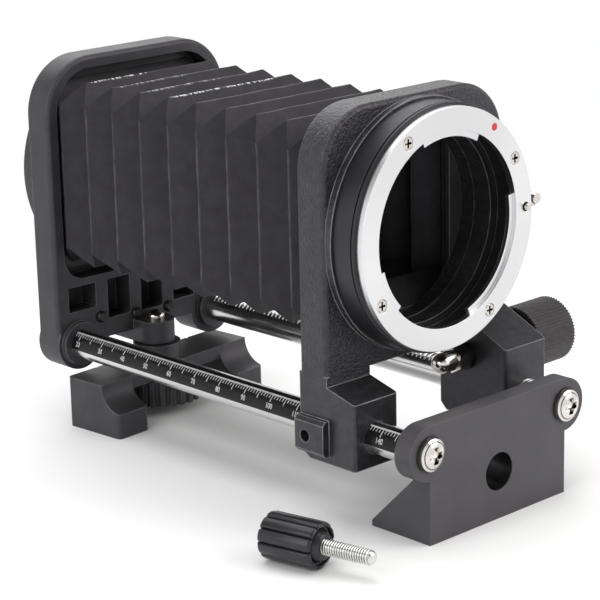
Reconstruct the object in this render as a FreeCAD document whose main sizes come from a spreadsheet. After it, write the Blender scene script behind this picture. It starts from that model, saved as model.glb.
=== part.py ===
import FreeCAD, Part
import math
import os
import Sketcher
from FreeCAD import Placement, Rotation, Vector

# Macro bellows unit: two rails carry a fixed rear standard and a front bracket, and a front standard
# that a rack and pinion drives along them. A pleated bellows joins the two standards.
# X is to the right seen from behind the lens, -Y points forward, Z is up. The origin lies on the table,
# in the middle of the front bracket's base.

doc = FreeCAD.newDocument("macro_bellows_unit")
sheet = doc.addObject("Spreadsheet::Sheet", "Sizes")

SIZES = [
    ("rail_spacing", 51.0, "distance between the rails' axes"),
    ("rail_radius", 4.1, "radius of both rails"),
    ("rail_height", 24.1, "height of the rails' axes above the table"),
    ("drive_room", 3.55, "room between the dome nut and the round step of the front standard"),
    ("slide_play", 0.05, "radial clearance of a running fit"),
    ("seat_play", 0.02, "radial clearance of a fixed seat"),
    ("face_gap", 0.3, "gap between faces that move past each other"),
    ("base_length", 20.15, "length of the front bracket's base"),
    ("bracket_thick", 5.15, "thickness of the bracket's plate"),
    ("bracket_lobe", 7.1, "radius of the bracket's lobes round the rail screws"),
    ("bracket_toe", 1.6, "height of the wedge at its toe"),
    ("bracket_slope_top", 16.5, "height at which the wedge meets the plate"),
    ("bracket_hole", 5.05, "radius of the hole through the bracket"),
    ("bracket_hole_height", 12.7, "height of that hole"),
    ("forward_room", 7.8, "room between the pinion housing and the bracket"),
    ("extension", 100.0, "distance between the two standards' facing faces"),
    ("rail_wall", 7.5, "distance from the rails' axes to the standards' sides"),
    ("frame_corner", 16.0, "radius of the standards' top corners"),
    ("frame_edge", 1.3, "rounding of the standards' outer edges"),
    ("rear_depth", 9.3, "depth of the rear standard"),
    ("rear_over_axis", 33.4, "height of the rear standard's top above the axis"),
    ("rear_web_low_drop", 0.6, "lower edge of the rear standard's web, below the rails' axes"),
    ("rear_wall", 3.65, "wall beside the rear standard's opening"),
    ("rear_roof", 3.5, "wall above that opening"),
    ("rear_back_wall", 3.0, "thickness of the rear standard's back wall"),
    ("rear_under_axis", 30.1, "depth of the opening's lower edge below the axis"),
    ("rear_opening_round", 12.0, "radius of the opening's top corners"),
    ("rear_opening_low_round", 7.0, "radius of the opening's bottom corners"),
    ("rear_lobe", 8.0, "radius of the lobes that hold the rails"),
    ("rear_boss_radius", 32.0, "radius of the round boss behind the rear standard"),
    ("rear_boss_depth", 4.0, "depth of that boss"),
    ("pocket_depth", 6.6, "depth of the pockets in the web"),
    ("pocket_sill", 2.1, "wall between the pockets and the opening"),
    ("pocket1_left", -28.6, "first pocket, from the left: its left side"),
    ("pocket1_right", -18.8, "its right side"),
    ("pocket1_floor", 9.3, "height of its floor above the rails' axes"),
    ("pocket2_left", -14.5, "second pocket: its left side"),
    ("pocket2_right", -6.3, "its right side"),
    ("pocket2_floor", 4.9, "height of its floor above the rails' axes"),
    ("pocket3_left", -2.2, "third pocket: its left side"),
    ("pocket3_right", 5.9, "its right side"),
    ("pocket3_floor", 4.5, "height of its floor above the rails' axes"),
    ("pocket4_left", 10.1, "fourth pocket: its left side"),
    ("pocket4_right", 18.0, "its right side"),
    ("pocket4_floor", 5.1, "height of its floor above the rails' axes"),
    ("pocket5_left", 20.6, "fifth pocket: its left side"),
    ("pocket5_right", 28.6, "its right side"),
    ("pocket5_floor", 9.3, "height of its floor above the rails' axes"),
    ("web_screw1_x", -17.2, "place of the first web screw, across"),
    ("web_screw1_z", 5.9, "its height above the rails' axes"),
    ("web_screw2_x", -4.3, "place of the second web screw, across"),
    ("web_screw2_z", 4.25, "its height above the rails' axes"),
    ("web_screw3_x", 8.0, "place of the third web screw, across"),
    ("web_screw3_z", 3.7, "its height above the rails' axes"),
    ("web_screw_head", 1.7, "radius of the web screws' heads"),
    ("web_screw_rim", 0.5, "height of those heads' rims"),
    ("web_screw_crown", 1.2, "radius of the flat tops of those heads"),
    ("web_screw_height", 1.1, "height of those heads"),
    ("rail_seat", 7.0, "depth of the rails' sockets in the rear standard"),
    ("collar_radius", 6.3, "radius of the raised collar round each rail"),
    ("collar_depth", 1.6, "depth of that collar"),
    ("rail_screw_hole", 1.75, "radius of the clearance holes for the rails' screws"),
    ("rail_tap", 1.6, "radius of the tapped hole in each rail's end"),
    ("rail_tap_depth", 11.0, "depth of that hole"),
    ("tap_end", 1.5, "empty length at the bottom of a tapped hole"),
    ("throat_rear", 22.5, "radius of the light path through the camera mount"),
    ("camera_ring", 30.0, "outer radius of the camera mount's flange"),
    ("camera_ring_thick", 2.0, "thickness of that flange"),
    ("camera_tube", 23.9, "outer radius of the camera mount's tube"),
    ("camera_tube_depth", 5.0, "length of that tube behind the flange"),
    ("camera_lug", 25.0, "outer radius of the camera mount's three lugs"),
    ("camera_lug_thick", 1.4, "thickness of those lugs"),
    ("camera_lug_angle", 55, "angle that each lug spans, degrees"),
    ("camera_screw_circle", 27.6, "radius of the circle of the camera mount's screws"),
    ("small_screw_height", 0.8, "height of those screws' heads"),
    ("stud_setback", 3.7, "distance of the foot's axis in front of the rear standard"),
    ("stud_boss", 5.4, "radius of the rear standard's boss for the foot's stud"),
    ("stud_boss_low_drop", 4.1, "depth of that boss's lower face below the rails' axes"),
    ("stud_boss_top_rise", 2.4, "height of that boss's upper face above the rails' axes"),
    ("stud_radius", 2.7, "radius of the clamp stud"),
    ("stud_top_rise", 4.9, "height of the stud's domed end above the rails' axes"),
    ("stud_dome", 1.62, "height of that dome itself"),
    ("stud_running", 0.08, "radial clearance round the clamp stud"),
    ("foot_yaw", 4.4, "angle by which the foot is turned in the photo, degrees"),
    ("foot_inner", 18.2, "distance of the wings' inner faces from the stud"),
    ("foot_outer", 29.7, "distance of the wings' outer faces from the stud"),
    ("foot_back", 6.4, "reach of the wings behind the stud"),
    ("foot_front", 14.4, "reach of the wings in front of the stud"),
    ("foot_top", 14.8, "height of the foot's top"),
    ("foot_web", 3.9, "thickness of the web between the wings"),
    ("foot_web_front", 7.6, "reach of that web in front of the stud"),
    ("foot_scoop", 7.5, "radius of the scoop in each wing's front"),
    ("foot_scoop_out", 0.5, "distance of the scoop's axis in front of the wings"),
    ("foot_collar", 7.0, "radius of the foot's collar under the boss"),
    ("foot_rounding", 1.2, "rounding of the wings' upright edges"),
    ("disc_radius", 13.0, "radius of the clamp disc"),
    ("disc_low", 3.0, "height of the clamp disc's lower face"),
    ("disc_thick", 7.6, "thickness of the clamp disc"),
    ("disc_flutes", 26, "flutes round the clamp disc"),
    ("disc_flute", 0.9, "radius of each flute in the clamp disc"),
    ("bellows_headroom", 1.2, "room above the bellows' end plates in the rear opening"),
    ("bellows_footroom", 2.4, "room below those plates"),
    ("bellows_side_room", 0.75, "room beside those plates"),
    ("bellows_side_lip", 6.5, "width of those plates beside the cloth"),
    ("bellows_top_lip", 2.05, "width of those plates above and below the cloth"),
    ("pleat_side", 5.6, "how far the side ridges stand out beyond the top ridges' width"),
    ("pleat_top", 6.2, "how far the top ridges stand up beyond the side ridges' height"),
    ("bellows_skin", 0.8, "thickness of the folded cloth, measured across the bellows"),
    ("bellows_pitch", 11.6, "length of one pleat"),
    ("bellows_collar", 1.9, "straight length of the bellows behind its front plate"),
    ("bellows_frame_thick", 1.2, "thickness of the plates that hold the bellows' ends"),
    ("front_depth", 9.7, "depth of the front standard"),
    ("front_over_axis", 33.2, "height of the front standard's top above the axis"),
    ("front_under_axis", 33.9, "depth of its lower edge, between the feet, below the axis"),
    ("front_boss_lip", 0.7, "how far the round step of the front standard stands out beyond the tube"),
    ("front_boss_depth", 2.0, "depth of that step"),
    ("throat_step", 1.1, "how much narrower the light path is than the tube's wide bore"),
    ("left_foot_width", 15.3, "width of the foot on the scaled rail"),
    ("left_foot_reach", 19.4, "length of that foot"),
    ("left_foot_low_drop", 7.5, "depth of that foot's underside below the rails' axes"),
    ("left_foot_front_top_rise", 9.9, "height of that foot's front edge above the rails' axes"),
    ("left_foot_top_rise", 12.5, "height at which that foot meets the standard, above the rails' axes"),
    ("housing_width", 15.9, "width of the pinion housing"),
    ("housing_setback", 1.7, "distance of the housing's rear face in front of the standard's"),
    ("housing_chamfer", 2.0, "chamfer under the housing's rear edge"),
    ("housing_depth", 24.7, "length of the pinion housing"),
    ("housing_low_drop", 7.0, "depth of the pinion housing's underside below the rails' axes"),
    ("housing_front_top_rise", 13.7, "height of the housing's front edge above the rails' axes"),
    ("housing_top_rise", 20.7, "height at which the housing meets the standard, above the rails' axes"),
    ("foot_edge", 0.8, "rounding of the upright front edges of the foot and the housing"),
    ("foot_chamfer_run", 3.4, "length of the chamfer under the left foot's rear edge"),
    ("foot_chamfer_rise", 1.9, "height of that chamfer"),
    ("lock_boss_out", 2.2, "reach of the lock boss beyond the foot's side"),
    ("lock_boss_length", 10.2, "length of the lock boss"),
    ("lock_boss_low_drop", 5.6, "depth of the lock boss's lower edge below the rails' axes"),
    ("lock_boss_high_rise", 3.9, "height of the lock boss's upper edge above the rails' axes"),
    ("lock_boss_bevel", 1.0, "bevel round the lock boss"),
    ("lock_hole", 1.65, "radius of the tapped hole for the thumbscrew"),
    ("lock_hole_setback", 3.6, "distance of that hole in front of the standard's rear face"),
    ("lock_hole_drop", 0.9, "distance of that hole below the rail's axis"),
    ("lock_hole_depth", 4.9, "depth of its thread"),
    ("lock_pilot", 1.1, "radius of the smaller hole that goes on to the rail"),
    ("tooth_module", 0.5, "module of the rack and of the pinion"),
    ("pinion_teeth", 24, "teeth on the pinion"),
    ("pinion_setback", 10.9, "distance of the pinion in front of the standard's rear face"),
    ("mesh_play", 0.05, "extra height of the pinion above the rack"),
    ("backlash", 0.08, "play between the meshing teeth along the pitch line"),
    ("pinion_face", 7.4, "width of the pinion's teeth"),
    ("pinion_wall", 4.2, "wall between the pinion and the housing's inner side"),
    ("rack_start", 2.0, "least plain length left at the rack's front end"),
    ("rack_end", 2.7, "plain length left at its rear end"),
    ("shaft_radius", 2.5, "radius of the pinion's shaft"),
    ("shaft_thread", 1.9, "radius of the shaft's threaded end"),
    ("bush_nose", 4.2, "radius of the bush outside the housing"),
    ("bush_out", 2.2, "reach of the bush outside the housing"),
    ("bush_depth", 3.4, "depth of the bush inside the housing"),
    ("knob_radius", 8.9, "radius of the drive knob"),
    ("knob_gap", 3.7, "distance of the knob's inner face from the standard's side"),
    ("knob_length", 14.5, "length of the drive knob"),
    ("knob_grooves", 60, "grooves of the knob's straight knurl"),
    ("knob_groove", 0.35, "depth of the knurl"),
    ("knob_end", 2.0, "thickness of the knob beyond the shaft's end"),
    ("knob_recess", 7.9, "radius of the recess in the knob's inner face"),
    ("knob_recess_depth", 1.4, "depth of that recess"),
    ("washer_radius", 3.6, "radius of the thrust washer"),
    ("washer_thick", 1.7, "thickness of the thrust washer"),
    ("nut_flats", 6.2, "distance across the flats of the lock nut"),
    ("nut_thick", 3.6, "thickness of the lock nut"),
    ("dome_radius", 2.8, "radius of the dome nut"),
    ("dome_length", 3.8, "length of the dome nut's straight part"),
    ("dome_floor", 0.3, "distance of the nut's bore from its rounded end"),
    ("tube_radius", 32.0, "outer radius of the mount tube"),
    ("tube_depth", 7.3, "length of the mount tube"),
    ("tube_groove_depth", 1.1, "depth of the groove behind the tube's lip"),
    ("tube_groove_start", 1.8, "distance of that groove from the tube's front"),
    ("tube_groove_width", 1.3, "width of that groove"),
    ("tube_wall", 5.0, "wall round the tube's wide front bore"),
    ("tube_step", 4.6, "depth of that wide bore"),
    ("ring_inset", 0.8, "how far the lens mount ring stands back from the tube's rim"),
    ("ring_thick", 2.0, "thickness of the lens mount ring"),
    ("ring_width", 5.9, "width of the ring's flat band"),
    ("ring_tab_reach", 1.7, "reach of the ring's inward bayonet tabs"),
    ("ring_tab_thick", 1.2, "thickness of those tabs"),
    ("ring_screw_inset", 2.7, "distance of the ring's screws from its rim"),
    ("ring_screw_head", 1.75, "radius of the ring screws' heads"),
    ("ring_screw_bevel", 0.25, "bevel round those heads"),
    ("ring_screw_cross", 1.15, "reach of the cross recess in those heads"),
    ("ring_screw_cross_half", 0.3, "half width of that recess's arms"),
    ("ring_screw_cross_depth", 0.7, "depth of that recess"),
    ("small_screw_shank", 0.8, "radius of the camera mount screws' shanks"),
    ("dot_turn", 54.6, "place of the index dot round the ring, degrees"),
    ("dot_radius", 1.0, "radius of the index dot"),
    ("dot_depth", 0.6, "depth of the index dot"),
    ("pin_inset", 2.2, "distance of the lock pin from the ring's rim"),
    ("pin_rise", 0.7, "height of the lock pin above the optical axis"),
    ("pin_room", 0.45, "radial room round the pin in the ring"),
    ("pin_radius", 0.85, "radius of the lock pin"),
    ("pin_out", 1.2, "reach of the lock pin in front of the ring"),
    ("lever_thick", 1.4, "thickness of the release lever"),
    ("lever_inner", 1.3, "reach of the lever inwards from the pin"),
    ("lever_slot_depth", 3.8, "depth of the slot for the lever in the tube"),
    ("lever_height", 2.4, "height of the release lever"),
    ("lever_out", 4.9, "reach of the lever beyond the tube"),
    ("lever_button", 1.4, "radius of the button on the lever's end"),
    ("lever_button_rise", 0.8, "height of that button above the lever's middle"),
    ("lever_button_lip", 0.6, "how far the button stands out beyond the lever's faces"),
    ("pan_head", 4.2, "radius of the bracket screws' heads"),
    ("pan_height", 2.1, "height of those heads"),
    ("rear_screw_head", 3.6, "radius of the heads of the rails' rear screws"),
    ("rear_screw_height", 2.3, "height of those heads"),
    ("bracket_washer", 4.6, "radius of the washers under those heads"),
    ("bracket_washer_thick", 0.4, "thickness of those washers"),
    ("thumb_radius", 6.0, "radius of the thumbscrew's head"),
    ("thumb_length", 15.5, "length of the thumbscrew's head"),
    ("thumb_grooves", 10, "grooves along the thumbscrew's head"),
    ("thumb_groove", 0.9, "radius of those grooves"),
    ("thumb_boss", 4.3, "radius of the boss at the thumbscrew's stud"),
    ("thumb_boss_out", 1.0, "height of that boss"),
    ("thumb_stud", 2.0, "radius of the thumbscrew's stud"),
    ("thumb_stud_length", 15.0, "length of the thumbscrew's stud"),
    ("thumb_stud_seat", 8.0, "depth of the stud's seat in the head"),
    ("thumb_tip", 1.0, "length of the stud's tapered tip"),
    ("thumb_tip_radius", 1.1, "radius of the stud at its very end"),
    ("thumb_x", -57.2, "place of the thumbscrew on the table, across"),
    ("thumb_y", 14.0, "place of the thumbscrew on the table, along"),
    ("thumb_turn", 12.5, "direction of the thumbscrew on the table, degrees"),
]

for row, (alias, value, meaning) in enumerate(SIZES, 1):
    sheet.set("A%d" % row, meaning)
    sheet.set("B%d" % row, str(value))
    sheet.setAlias("B%d" % row, alias)
doc.recompute()


class Size:
    """A number together with the sheet formula that gives it."""

    def __init__(self, number, text):
        self.number = number
        self.text = text

    def combine(self, other, sign, number):
        return Size(number, "(%s %s %s)" % (self.text, sign, other.text))

    def __add__(self, other):
        other = as_size(other)
        return self.combine(other, "+", self.number + other.number)

    def __sub__(self, other):
        other = as_size(other)
        return self.combine(other, "-", self.number - other.number)

    def __mul__(self, other):
        other = as_size(other)
        return self.combine(other, "*", self.number * other.number)

    def __truediv__(self, other):
        other = as_size(other)
        return self.combine(other, "/", self.number / other.number)

    def __radd__(self, other):
        return as_size(other) + self

    def __rsub__(self, other):
        return as_size(other) - self

    def __rmul__(self, other):
        return as_size(other) * self

    def __neg__(self):
        return as_size(0) - self

    def __float__(self):
        return float(self.number)


def as_size(value):
    """Read a plain number as a size."""
    if isinstance(value, Size):
        return value
    return Size(float(value), "%.6f" % value)


class Sheet:
    """Gives each alias of the sheet as a size."""

    def __getattr__(self, alias):
        return Size(float(sheet.get(alias)), "Sizes." + alias)


s = Sheet()
X_DIR = Vector(1, 0, 0)
Y_DIR = Vector(0, 1, 0)
Z_DIR = Vector(0, 0, 1)
TURN = {"x": Rotation(Y_DIR, 90), "y": Rotation(X_DIR, -90), "z": Rotation()}

# Places along Y. Each follows from the one before it, from the bracket's front face backwards.
bracket_front = -s.base_length / 2
bracket_back = bracket_front + s.bracket_thick
housing_front = bracket_back + s.forward_room
carriage_rear = housing_front + s.housing_depth
carriage_front = carriage_rear - s.front_depth
rear_front = carriage_rear + s.extension
rear_back = rear_front + s.rear_depth
flange_back = rear_back + s.rear_boss_depth
rail_end = rear_front + s.rail_seat
stud_y = rear_front - s.stud_setback
boss_front = carriage_front - s.front_boss_depth
tube_front = boss_front - s.tube_depth
ring_front = tube_front - s.ring_thick
pinion_y = carriage_rear - s.pinion_setback

# Places across and upwards.
rail_x = s.rail_spacing / 2
half_frame = rail_x + s.rail_wall
pitch_radius = s.tooth_module * s.pinion_teeth / 2
pinion_z = s.rail_height + s.rail_radius - s.tooth_module + pitch_radius + s.mesh_play
pinion_tip = pitch_radius + s.tooth_module
boss_radius = s.tube_radius + s.front_boss_lip
tube_bore = s.tube_radius - s.tube_wall
throat_front = tube_bore - s.throat_step
ring_radius = s.tube_radius - s.ring_inset
ring_bore = ring_radius - s.ring_width
ring_tab = ring_bore - s.ring_tab_reach
ring_screw_circle = ring_radius - s.ring_screw_inset
pin_circle = ring_radius - s.pin_inset
lever_reach = s.tube_radius + s.lever_out
axis_z = pinion_z + s.dome_radius + s.drive_room + boss_radius
pin_z = axis_z + s.pin_rise
rear_top = axis_z + s.rear_over_axis
opening_top = rear_top - s.rear_roof
opening_low = axis_z - s.rear_under_axis
front_top = axis_z + s.front_over_axis
front_low = axis_z - s.front_under_axis
knob_start = half_frame + s.knob_gap
housing_inner = half_frame - s.housing_width
cavity_inner = housing_inner + s.pinion_wall
rear_web_low = s.rail_height - s.rear_web_low_drop
stud_boss_low = s.rail_height - s.stud_boss_low_drop
stud_boss_top = s.rail_height + s.stud_boss_top_rise
stud_top = s.rail_height + s.stud_top_rise
left_foot_low = s.rail_height - s.left_foot_low_drop
left_foot_front_top = s.rail_height + s.left_foot_front_top_rise
left_foot_top = s.rail_height + s.left_foot_top_rise
housing_low = s.rail_height - s.housing_low_drop
housing_front_top = s.rail_height + s.housing_front_top_rise
housing_top = s.rail_height + s.housing_top_rise
lock_boss_low = s.rail_height - s.lock_boss_low_drop
lock_boss_high = s.rail_height + s.lock_boss_high_rise
disc_top = s.disc_low + s.disc_thick

# Half sizes of the bellows' plates and sections, and the height of their middle.
plate_half = half_frame - s.rear_wall - s.bellows_side_room
plate_rise = (opening_top - s.bellows_headroom - opening_low - s.bellows_footroom) / 2
bellows_middle = opening_low + s.bellows_footroom + plate_rise
narrow_half = plate_half - s.bellows_side_lip
narrow_rise = plate_rise - s.bellows_top_lip
wide_half = narrow_half + s.pleat_side
wide_rise = narrow_rise - s.pleat_top

# Shares of a rounded screw head's radius and height that its crown and its cross recess take, the angle of
# the gear's flanks, the depth of its roots in modules, and how far helper solids reach past a cut or a joint.
CROWN_SHARE = 0.62
RECESS_REACH = 0.52
RECESS_HALF_WIDTH = 0.2
RECESS_FLOOR = 0.45
PRESSURE_ANGLE = math.radians(20)
ROOT_DEPTH = 1.25
OVERLAP = 0.3

pieces = {}


def bind(item, name, value):
    """Set a property from a size, so that it follows the sheet."""
    value = as_size(value)
    item.setExpression(name, value.text)


def place(item, x, y, z):
    bind(item, ".Placement.Base.x", x)
    bind(item, ".Placement.Base.y", y)
    bind(item, ".Placement.Base.z", z)


def block(name, x, y, z):
    """A box between pairs of low and high sizes."""
    item = doc.addObject("Part::Box", name)
    for side, (low, high) in (("Length", x), ("Width", y), ("Height", z)):
        bind(item, side, as_size(high) - low)
    place(item, x[0], y[0], z[0])
    return item


def rod(name, radius, direction, low, high, across=(0, 0)):
    """A cylinder along x, y or z from low to high; across gives its two other coordinates in order."""
    item = doc.addObject("Part::Cylinder", name)
    bind(item, "Radius", radius)
    bind(item, "Height", as_size(high) - low)
    item.Placement = Placement(Vector(), TURN[direction])
    spot = list(across)
    spot.insert("xyz".index(direction), low)
    place(item, *spot)
    return item


def taper(name, low_radius, high_radius, direction, low, high, across=(0, 0)):
    """A cone along x, y or z from low to high."""
    item = doc.addObject("Part::Cone", name)
    bind(item, "Radius1", low_radius)
    bind(item, "Radius2", high_radius)
    bind(item, "Height", as_size(high) - low)
    item.Placement = Placement(Vector(), TURN[direction])
    spot = list(across)
    spot.insert("xyz".index(direction), low)
    place(item, *spot)
    return item


def ball(name, radius, x, y, z):
    item = doc.addObject("Part::Sphere", name)
    bind(item, "Radius", radius)
    place(item, x, y, z)
    return item


def solid(name, shape):
    """A shape made with Part's own functions."""
    item = doc.addObject("Part::Feature", name)
    item.Shape = shape
    return item


def fuse(name, *parts):
    item = doc.addObject("Part::MultiFuse", name)
    item.Shapes = list(parts)
    item.Refine = True
    return item


def cut(name, base, *tools):
    """Cut the tools from the base, one after the other."""
    for number, tool in enumerate(tools):
        item = doc.addObject("Part::Cut", "%s_%d" % (name, number))
        item.Base = base
        item.Tool = tool
        item.Refine = True
        base = item
    return base


def rounded(name, base, direction, spots, radius):
    """Round the edges of a primitive that run along one direction through the given places."""
    doc.recompute()
    item = doc.addObject("Part::Fillet", name)
    item.Base = base
    numbers = [int(edge[4:]) for edge in edges_at(base.Shape, direction, spots)]
    item.Edges = [(number, float(radius), float(radius)) for number in numbers]
    return item


def common(name, first, second):
    item = doc.addObject("Part::Common", name)
    item.Base = first
    item.Tool = second
    return item


def keep(name, item):
    """Register a finished piece under its node name."""
    item.Label = name
    pieces[name] = item
    return item


def new_body(name):
    return doc.addObject("PartDesign::Body", name + "_body")


def sketch_on(body, role, name, offset):
    """A sketch on one of the body's own planes, moved along the plane's normal."""
    sketch = body.newObject("Sketcher::SketchObject", name)
    plane = [item for item in body.Origin.OriginFeatures if item.Role == role][0]
    sketch.AttachmentSupport = [(plane, "")]
    sketch.MapMode = "FlatFace"
    bind(sketch, ".AttachmentOffset.Base.z", offset)
    return sketch


def hold(sketch, kind, geometry, point, value):
    """Hold a point of the sketch at a distance from the origin."""
    index = sketch.addConstraint(Sketcher.Constraint(kind, -1, 1, geometry, point, float(value)))
    bind(sketch, "Constraints[%d]" % index, value)


def outline(sketch, points):
    """Add a closed outline of straight lines through points, each a pair of sizes."""
    first = sketch.GeometryCount
    count = len(points)
    for i in range(count):
        here = points[i]
        there = points[(i + 1) % count]
        start = Vector(float(here[0]), float(here[1]), 0)
        end = Vector(float(there[0]), float(there[1]), 0)
        sketch.addGeometry(Part.LineSegment(start, end), False)
    for i in range(count):
        sketch.addConstraint(Sketcher.Constraint("Coincident", first + i, 2, first + (i + 1) % count, 1))
    for i, (across, up) in enumerate(points):
        hold(sketch, "DistanceX", first + i, 1, as_size(across))
        hold(sketch, "DistanceY", first + i, 1, as_size(up))


def rectangle(sketch, low_x, high_x, low_y, high_y):
    outline(sketch, [(low_x, low_y), (high_x, low_y), (high_x, high_y), (low_x, high_y)])


def rounded_rectangle(sketch, low_x, high_x, low_y, high_y, low_round, high_round):
    """Add a rectangle with one radius for its lower and one for its upper corners."""
    first = sketch.GeometryCount
    corners = [(high_x - high_round, high_y - high_round, high_round, 0),
               (low_x + high_round, high_y - high_round, high_round, 90),
               (low_x + low_round, low_y + low_round, low_round, 180),
               (high_x - low_round, low_y + low_round, low_round, 270)]
    for x, y, radius, turn in corners:
        round_corner = Part.Circle(Vector(float(x), float(y), 0), Z_DIR, float(radius))
        start = math.radians(turn)
        sketch.addGeometry(Part.ArcOfCircle(round_corner, start, start + math.pi / 2), False)
    for i in range(4):
        start = sketch.getPoint(first + i, 2)
        end = sketch.getPoint(first + (i + 1) % 4, 1)
        sketch.addGeometry(Part.LineSegment(start, end), False)
    for i, (x, y, radius, turn) in enumerate(corners):
        level, upright = (1, 2) if turn in (0, 180) else (2, 1)
        hold(sketch, "DistanceX", first + i, 3, x)
        hold(sketch, "DistanceY", first + i, 3, y)
        hold(sketch, "DistanceY", first + i, level, y)
        hold(sketch, "DistanceX", first + i, upright, x)
        held = sketch.addConstraint(Sketcher.Constraint("Radius", first + i, float(radius)))
        bind(sketch, "Constraints[%d]" % held, radius)
        sketch.addConstraint(Sketcher.Constraint("Coincident", first + i, 2, first + 4 + i, 1))
        sketch.addConstraint(Sketcher.Constraint("Coincident", first + 4 + i, 2, first + (i + 1) % 4, 1))


def circle(sketch, x, y, radius):
    """Add a circle whose centre and radius are sizes."""
    index = sketch.GeometryCount
    centre = Vector(float(x), float(y), 0)
    sketch.addGeometry(Part.Circle(centre, Z_DIR, float(radius)), False)
    hold(sketch, "DistanceX", index, 3, as_size(x))
    hold(sketch, "DistanceY", index, 3, as_size(y))
    held = sketch.addConstraint(Sketcher.Constraint("Radius", index, float(radius)))
    bind(sketch, "Constraints[%d]" % held, radius)


def centred_sketch(body, role, name, offset, across, up):
    """A sketch whose origin lies at the given place of its plane."""
    sketch = sketch_on(body, role, name, offset)
    bind(sketch, ".AttachmentOffset.Base.x", across)
    bind(sketch, ".AttachmentOffset.Base.y", up)
    return sketch


def pad(body, sketch, length, back=False):
    """Raise the sketch along its normal, or against it when back is set."""
    item = body.newObject("PartDesign::Pad", sketch.Name + "_pad")
    item.Profile = sketch
    item.Reversed = back
    bind(item, "Length", length)
    return item


def pocket(body, sketch, length, forward=False):
    """Cut the sketch against its normal, or along it when forward is set."""
    before = shape_volume(body)
    item = body.newObject("PartDesign::Pocket", sketch.Name + "_pocket")
    item.Profile = sketch
    item.Reversed = forward
    bind(item, "Length", length)
    doc.recompute()
    if item.Shape.Volume > before - 1e-3:
        raise ValueError("this pocket cuts nothing: " + sketch.Name)
    return item


def repeat_round(body, feature, sketch, count):
    """Repeat a feature evenly round the origin of its sketch."""
    ring = body.newObject("PartDesign::PolarPattern", feature.Name + "_ring")
    ring.Originals = [feature]
    ring.Axis = (sketch, ["N_Axis"])
    ring.Angle = 360
    bind(ring, "Occurrences", count)
    body.Tip = ring
    return ring


def shape_volume(body):
    doc.recompute()
    return body.Shape.Volume


def edges_at(shape, direction, spots):
    """Names of the straight edges that run along x, y or z through the given pairs of coordinates."""
    skip = "xyz".index(direction)
    names = []
    for number, edge in enumerate(shape.Edges, 1):
        ends = [list(vertex.Point) for vertex in edge.Vertexes]
        if len(ends) != 2 or abs(ends[0][skip] - ends[1][skip]) < 1e-6:
            continue
        for point in ends:
            del point[skip]
        for spot in spots:
            if all(math.dist(point, [float(value) for value in spot]) < 1e-4 for point in ends):
                names.append("Edge%d" % number)
    return names


def dress(body, kind, size_name, direction, spots, radius):
    """Fillet or chamfer the edges that run along one direction through the given places."""
    doc.recompute()
    base = body.Tip
    item = body.newObject("PartDesign::" + kind, base.Name + "_" + kind.lower())
    item.Base = (base, edges_at(base.Shape, direction, spots))
    bind(item, size_name, radius)
    return item


def fillet(body, direction, spots, radius):
    return dress(body, "Fillet", "Radius", direction, spots, radius)


def chamfer(body, direction, spots, size):
    return dress(body, "Chamfer", "Size", direction, spots, size)


# Rails

def scaled_rail():
    """The plain rail, which carries the millimetre scale, with a tapped hole in each end."""
    bar = rod("scaled_bar", s.rail_radius, "y", bracket_back, rail_end, (-rail_x, s.rail_height))
    front_tap = rod("scaled_front_tap", s.rail_tap, "y", bracket_back, bracket_back + s.rail_tap_depth,
                    (-rail_x, s.rail_height))
    rear_tap = rod("scaled_rear_tap", s.rail_tap, "y", rail_end - s.rail_tap_depth, rail_end,
                   (-rail_x, s.rail_height))
    return keep("scaled_rail", cut("scaled_rail_cut", bar, front_tap, rear_tap))


def rack_rail():
    """The toothed rail: straight teeth are cut across its top, with a gap right under the pinion."""
    body = new_body("rack_rail")
    section = sketch_on(body, "XZ_Plane", "rack_section", -rail_end)
    circle(section, rail_x, s.rail_height, s.rail_radius)
    pad(body, section, rail_end - bracket_back)
    taps = (("rack_front_tap", bracket_back, False), ("rack_rear_tap", rail_end, True))
    for name, start, forward in taps:
        tap = sketch_on(body, "XZ_Plane", name, -start)
        circle(tap, rail_x, s.rail_height, s.rail_tap)
        pocket(body, tap, s.rail_tap_depth, forward)
    pitch = math.pi * s.tooth_module
    before_pinion = int(float(pinion_y - bracket_back - s.rack_start) / float(pitch))
    first = pinion_y - before_pinion * pitch
    count = int(float(rear_front - s.rack_end - first) / float(pitch)) + 1
    below = ROOT_DEPTH * s.tooth_module
    above = s.tooth_module + OVERLAP
    pitch_line = s.rail_height + s.rail_radius - s.tooth_module
    root = pitch_line - below
    over = pitch_line + above
    slope = math.tan(PRESSURE_ANGLE)
    half_root = pitch / 4 + s.backlash / 2 - below * slope
    half_over = pitch / 4 + s.backlash / 2 + above * slope
    gap = sketch_on(body, "YZ_Plane", "rack_gap", rail_x)
    outline(gap, [(first - half_root, root), (first + half_root, root),
                  (first + half_over, over), (first - half_over, over)])
    tooth = pocket(body, gap, 2 * s.rail_radius)
    tooth.SideType = "Symmetric"
    row = body.newObject("PartDesign::LinearPattern", "rack_row")
    row.Originals = [tooth]
    along = [item for item in body.Origin.OriginFeatures if item.Role == "Y_Axis"][0]
    row.Direction = (along, [""])
    bind(row, "Length", (count - 1) * pitch)
    row.Occurrences = count
    body.Tip = row
    return keep("rack_rail", body)


# Rear standard

def web_pockets():
    """Left side, right side and floor of each pocket of the web."""
    return [(s.pocket1_left, s.pocket1_right, s.pocket1_floor),
            (s.pocket2_left, s.pocket2_right, s.pocket2_floor),
            (s.pocket3_left, s.pocket3_right, s.pocket3_floor),
            (s.pocket4_left, s.pocket4_right, s.pocket4_floor),
            (s.pocket5_left, s.pocket5_right, s.pocket5_floor)]


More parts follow.
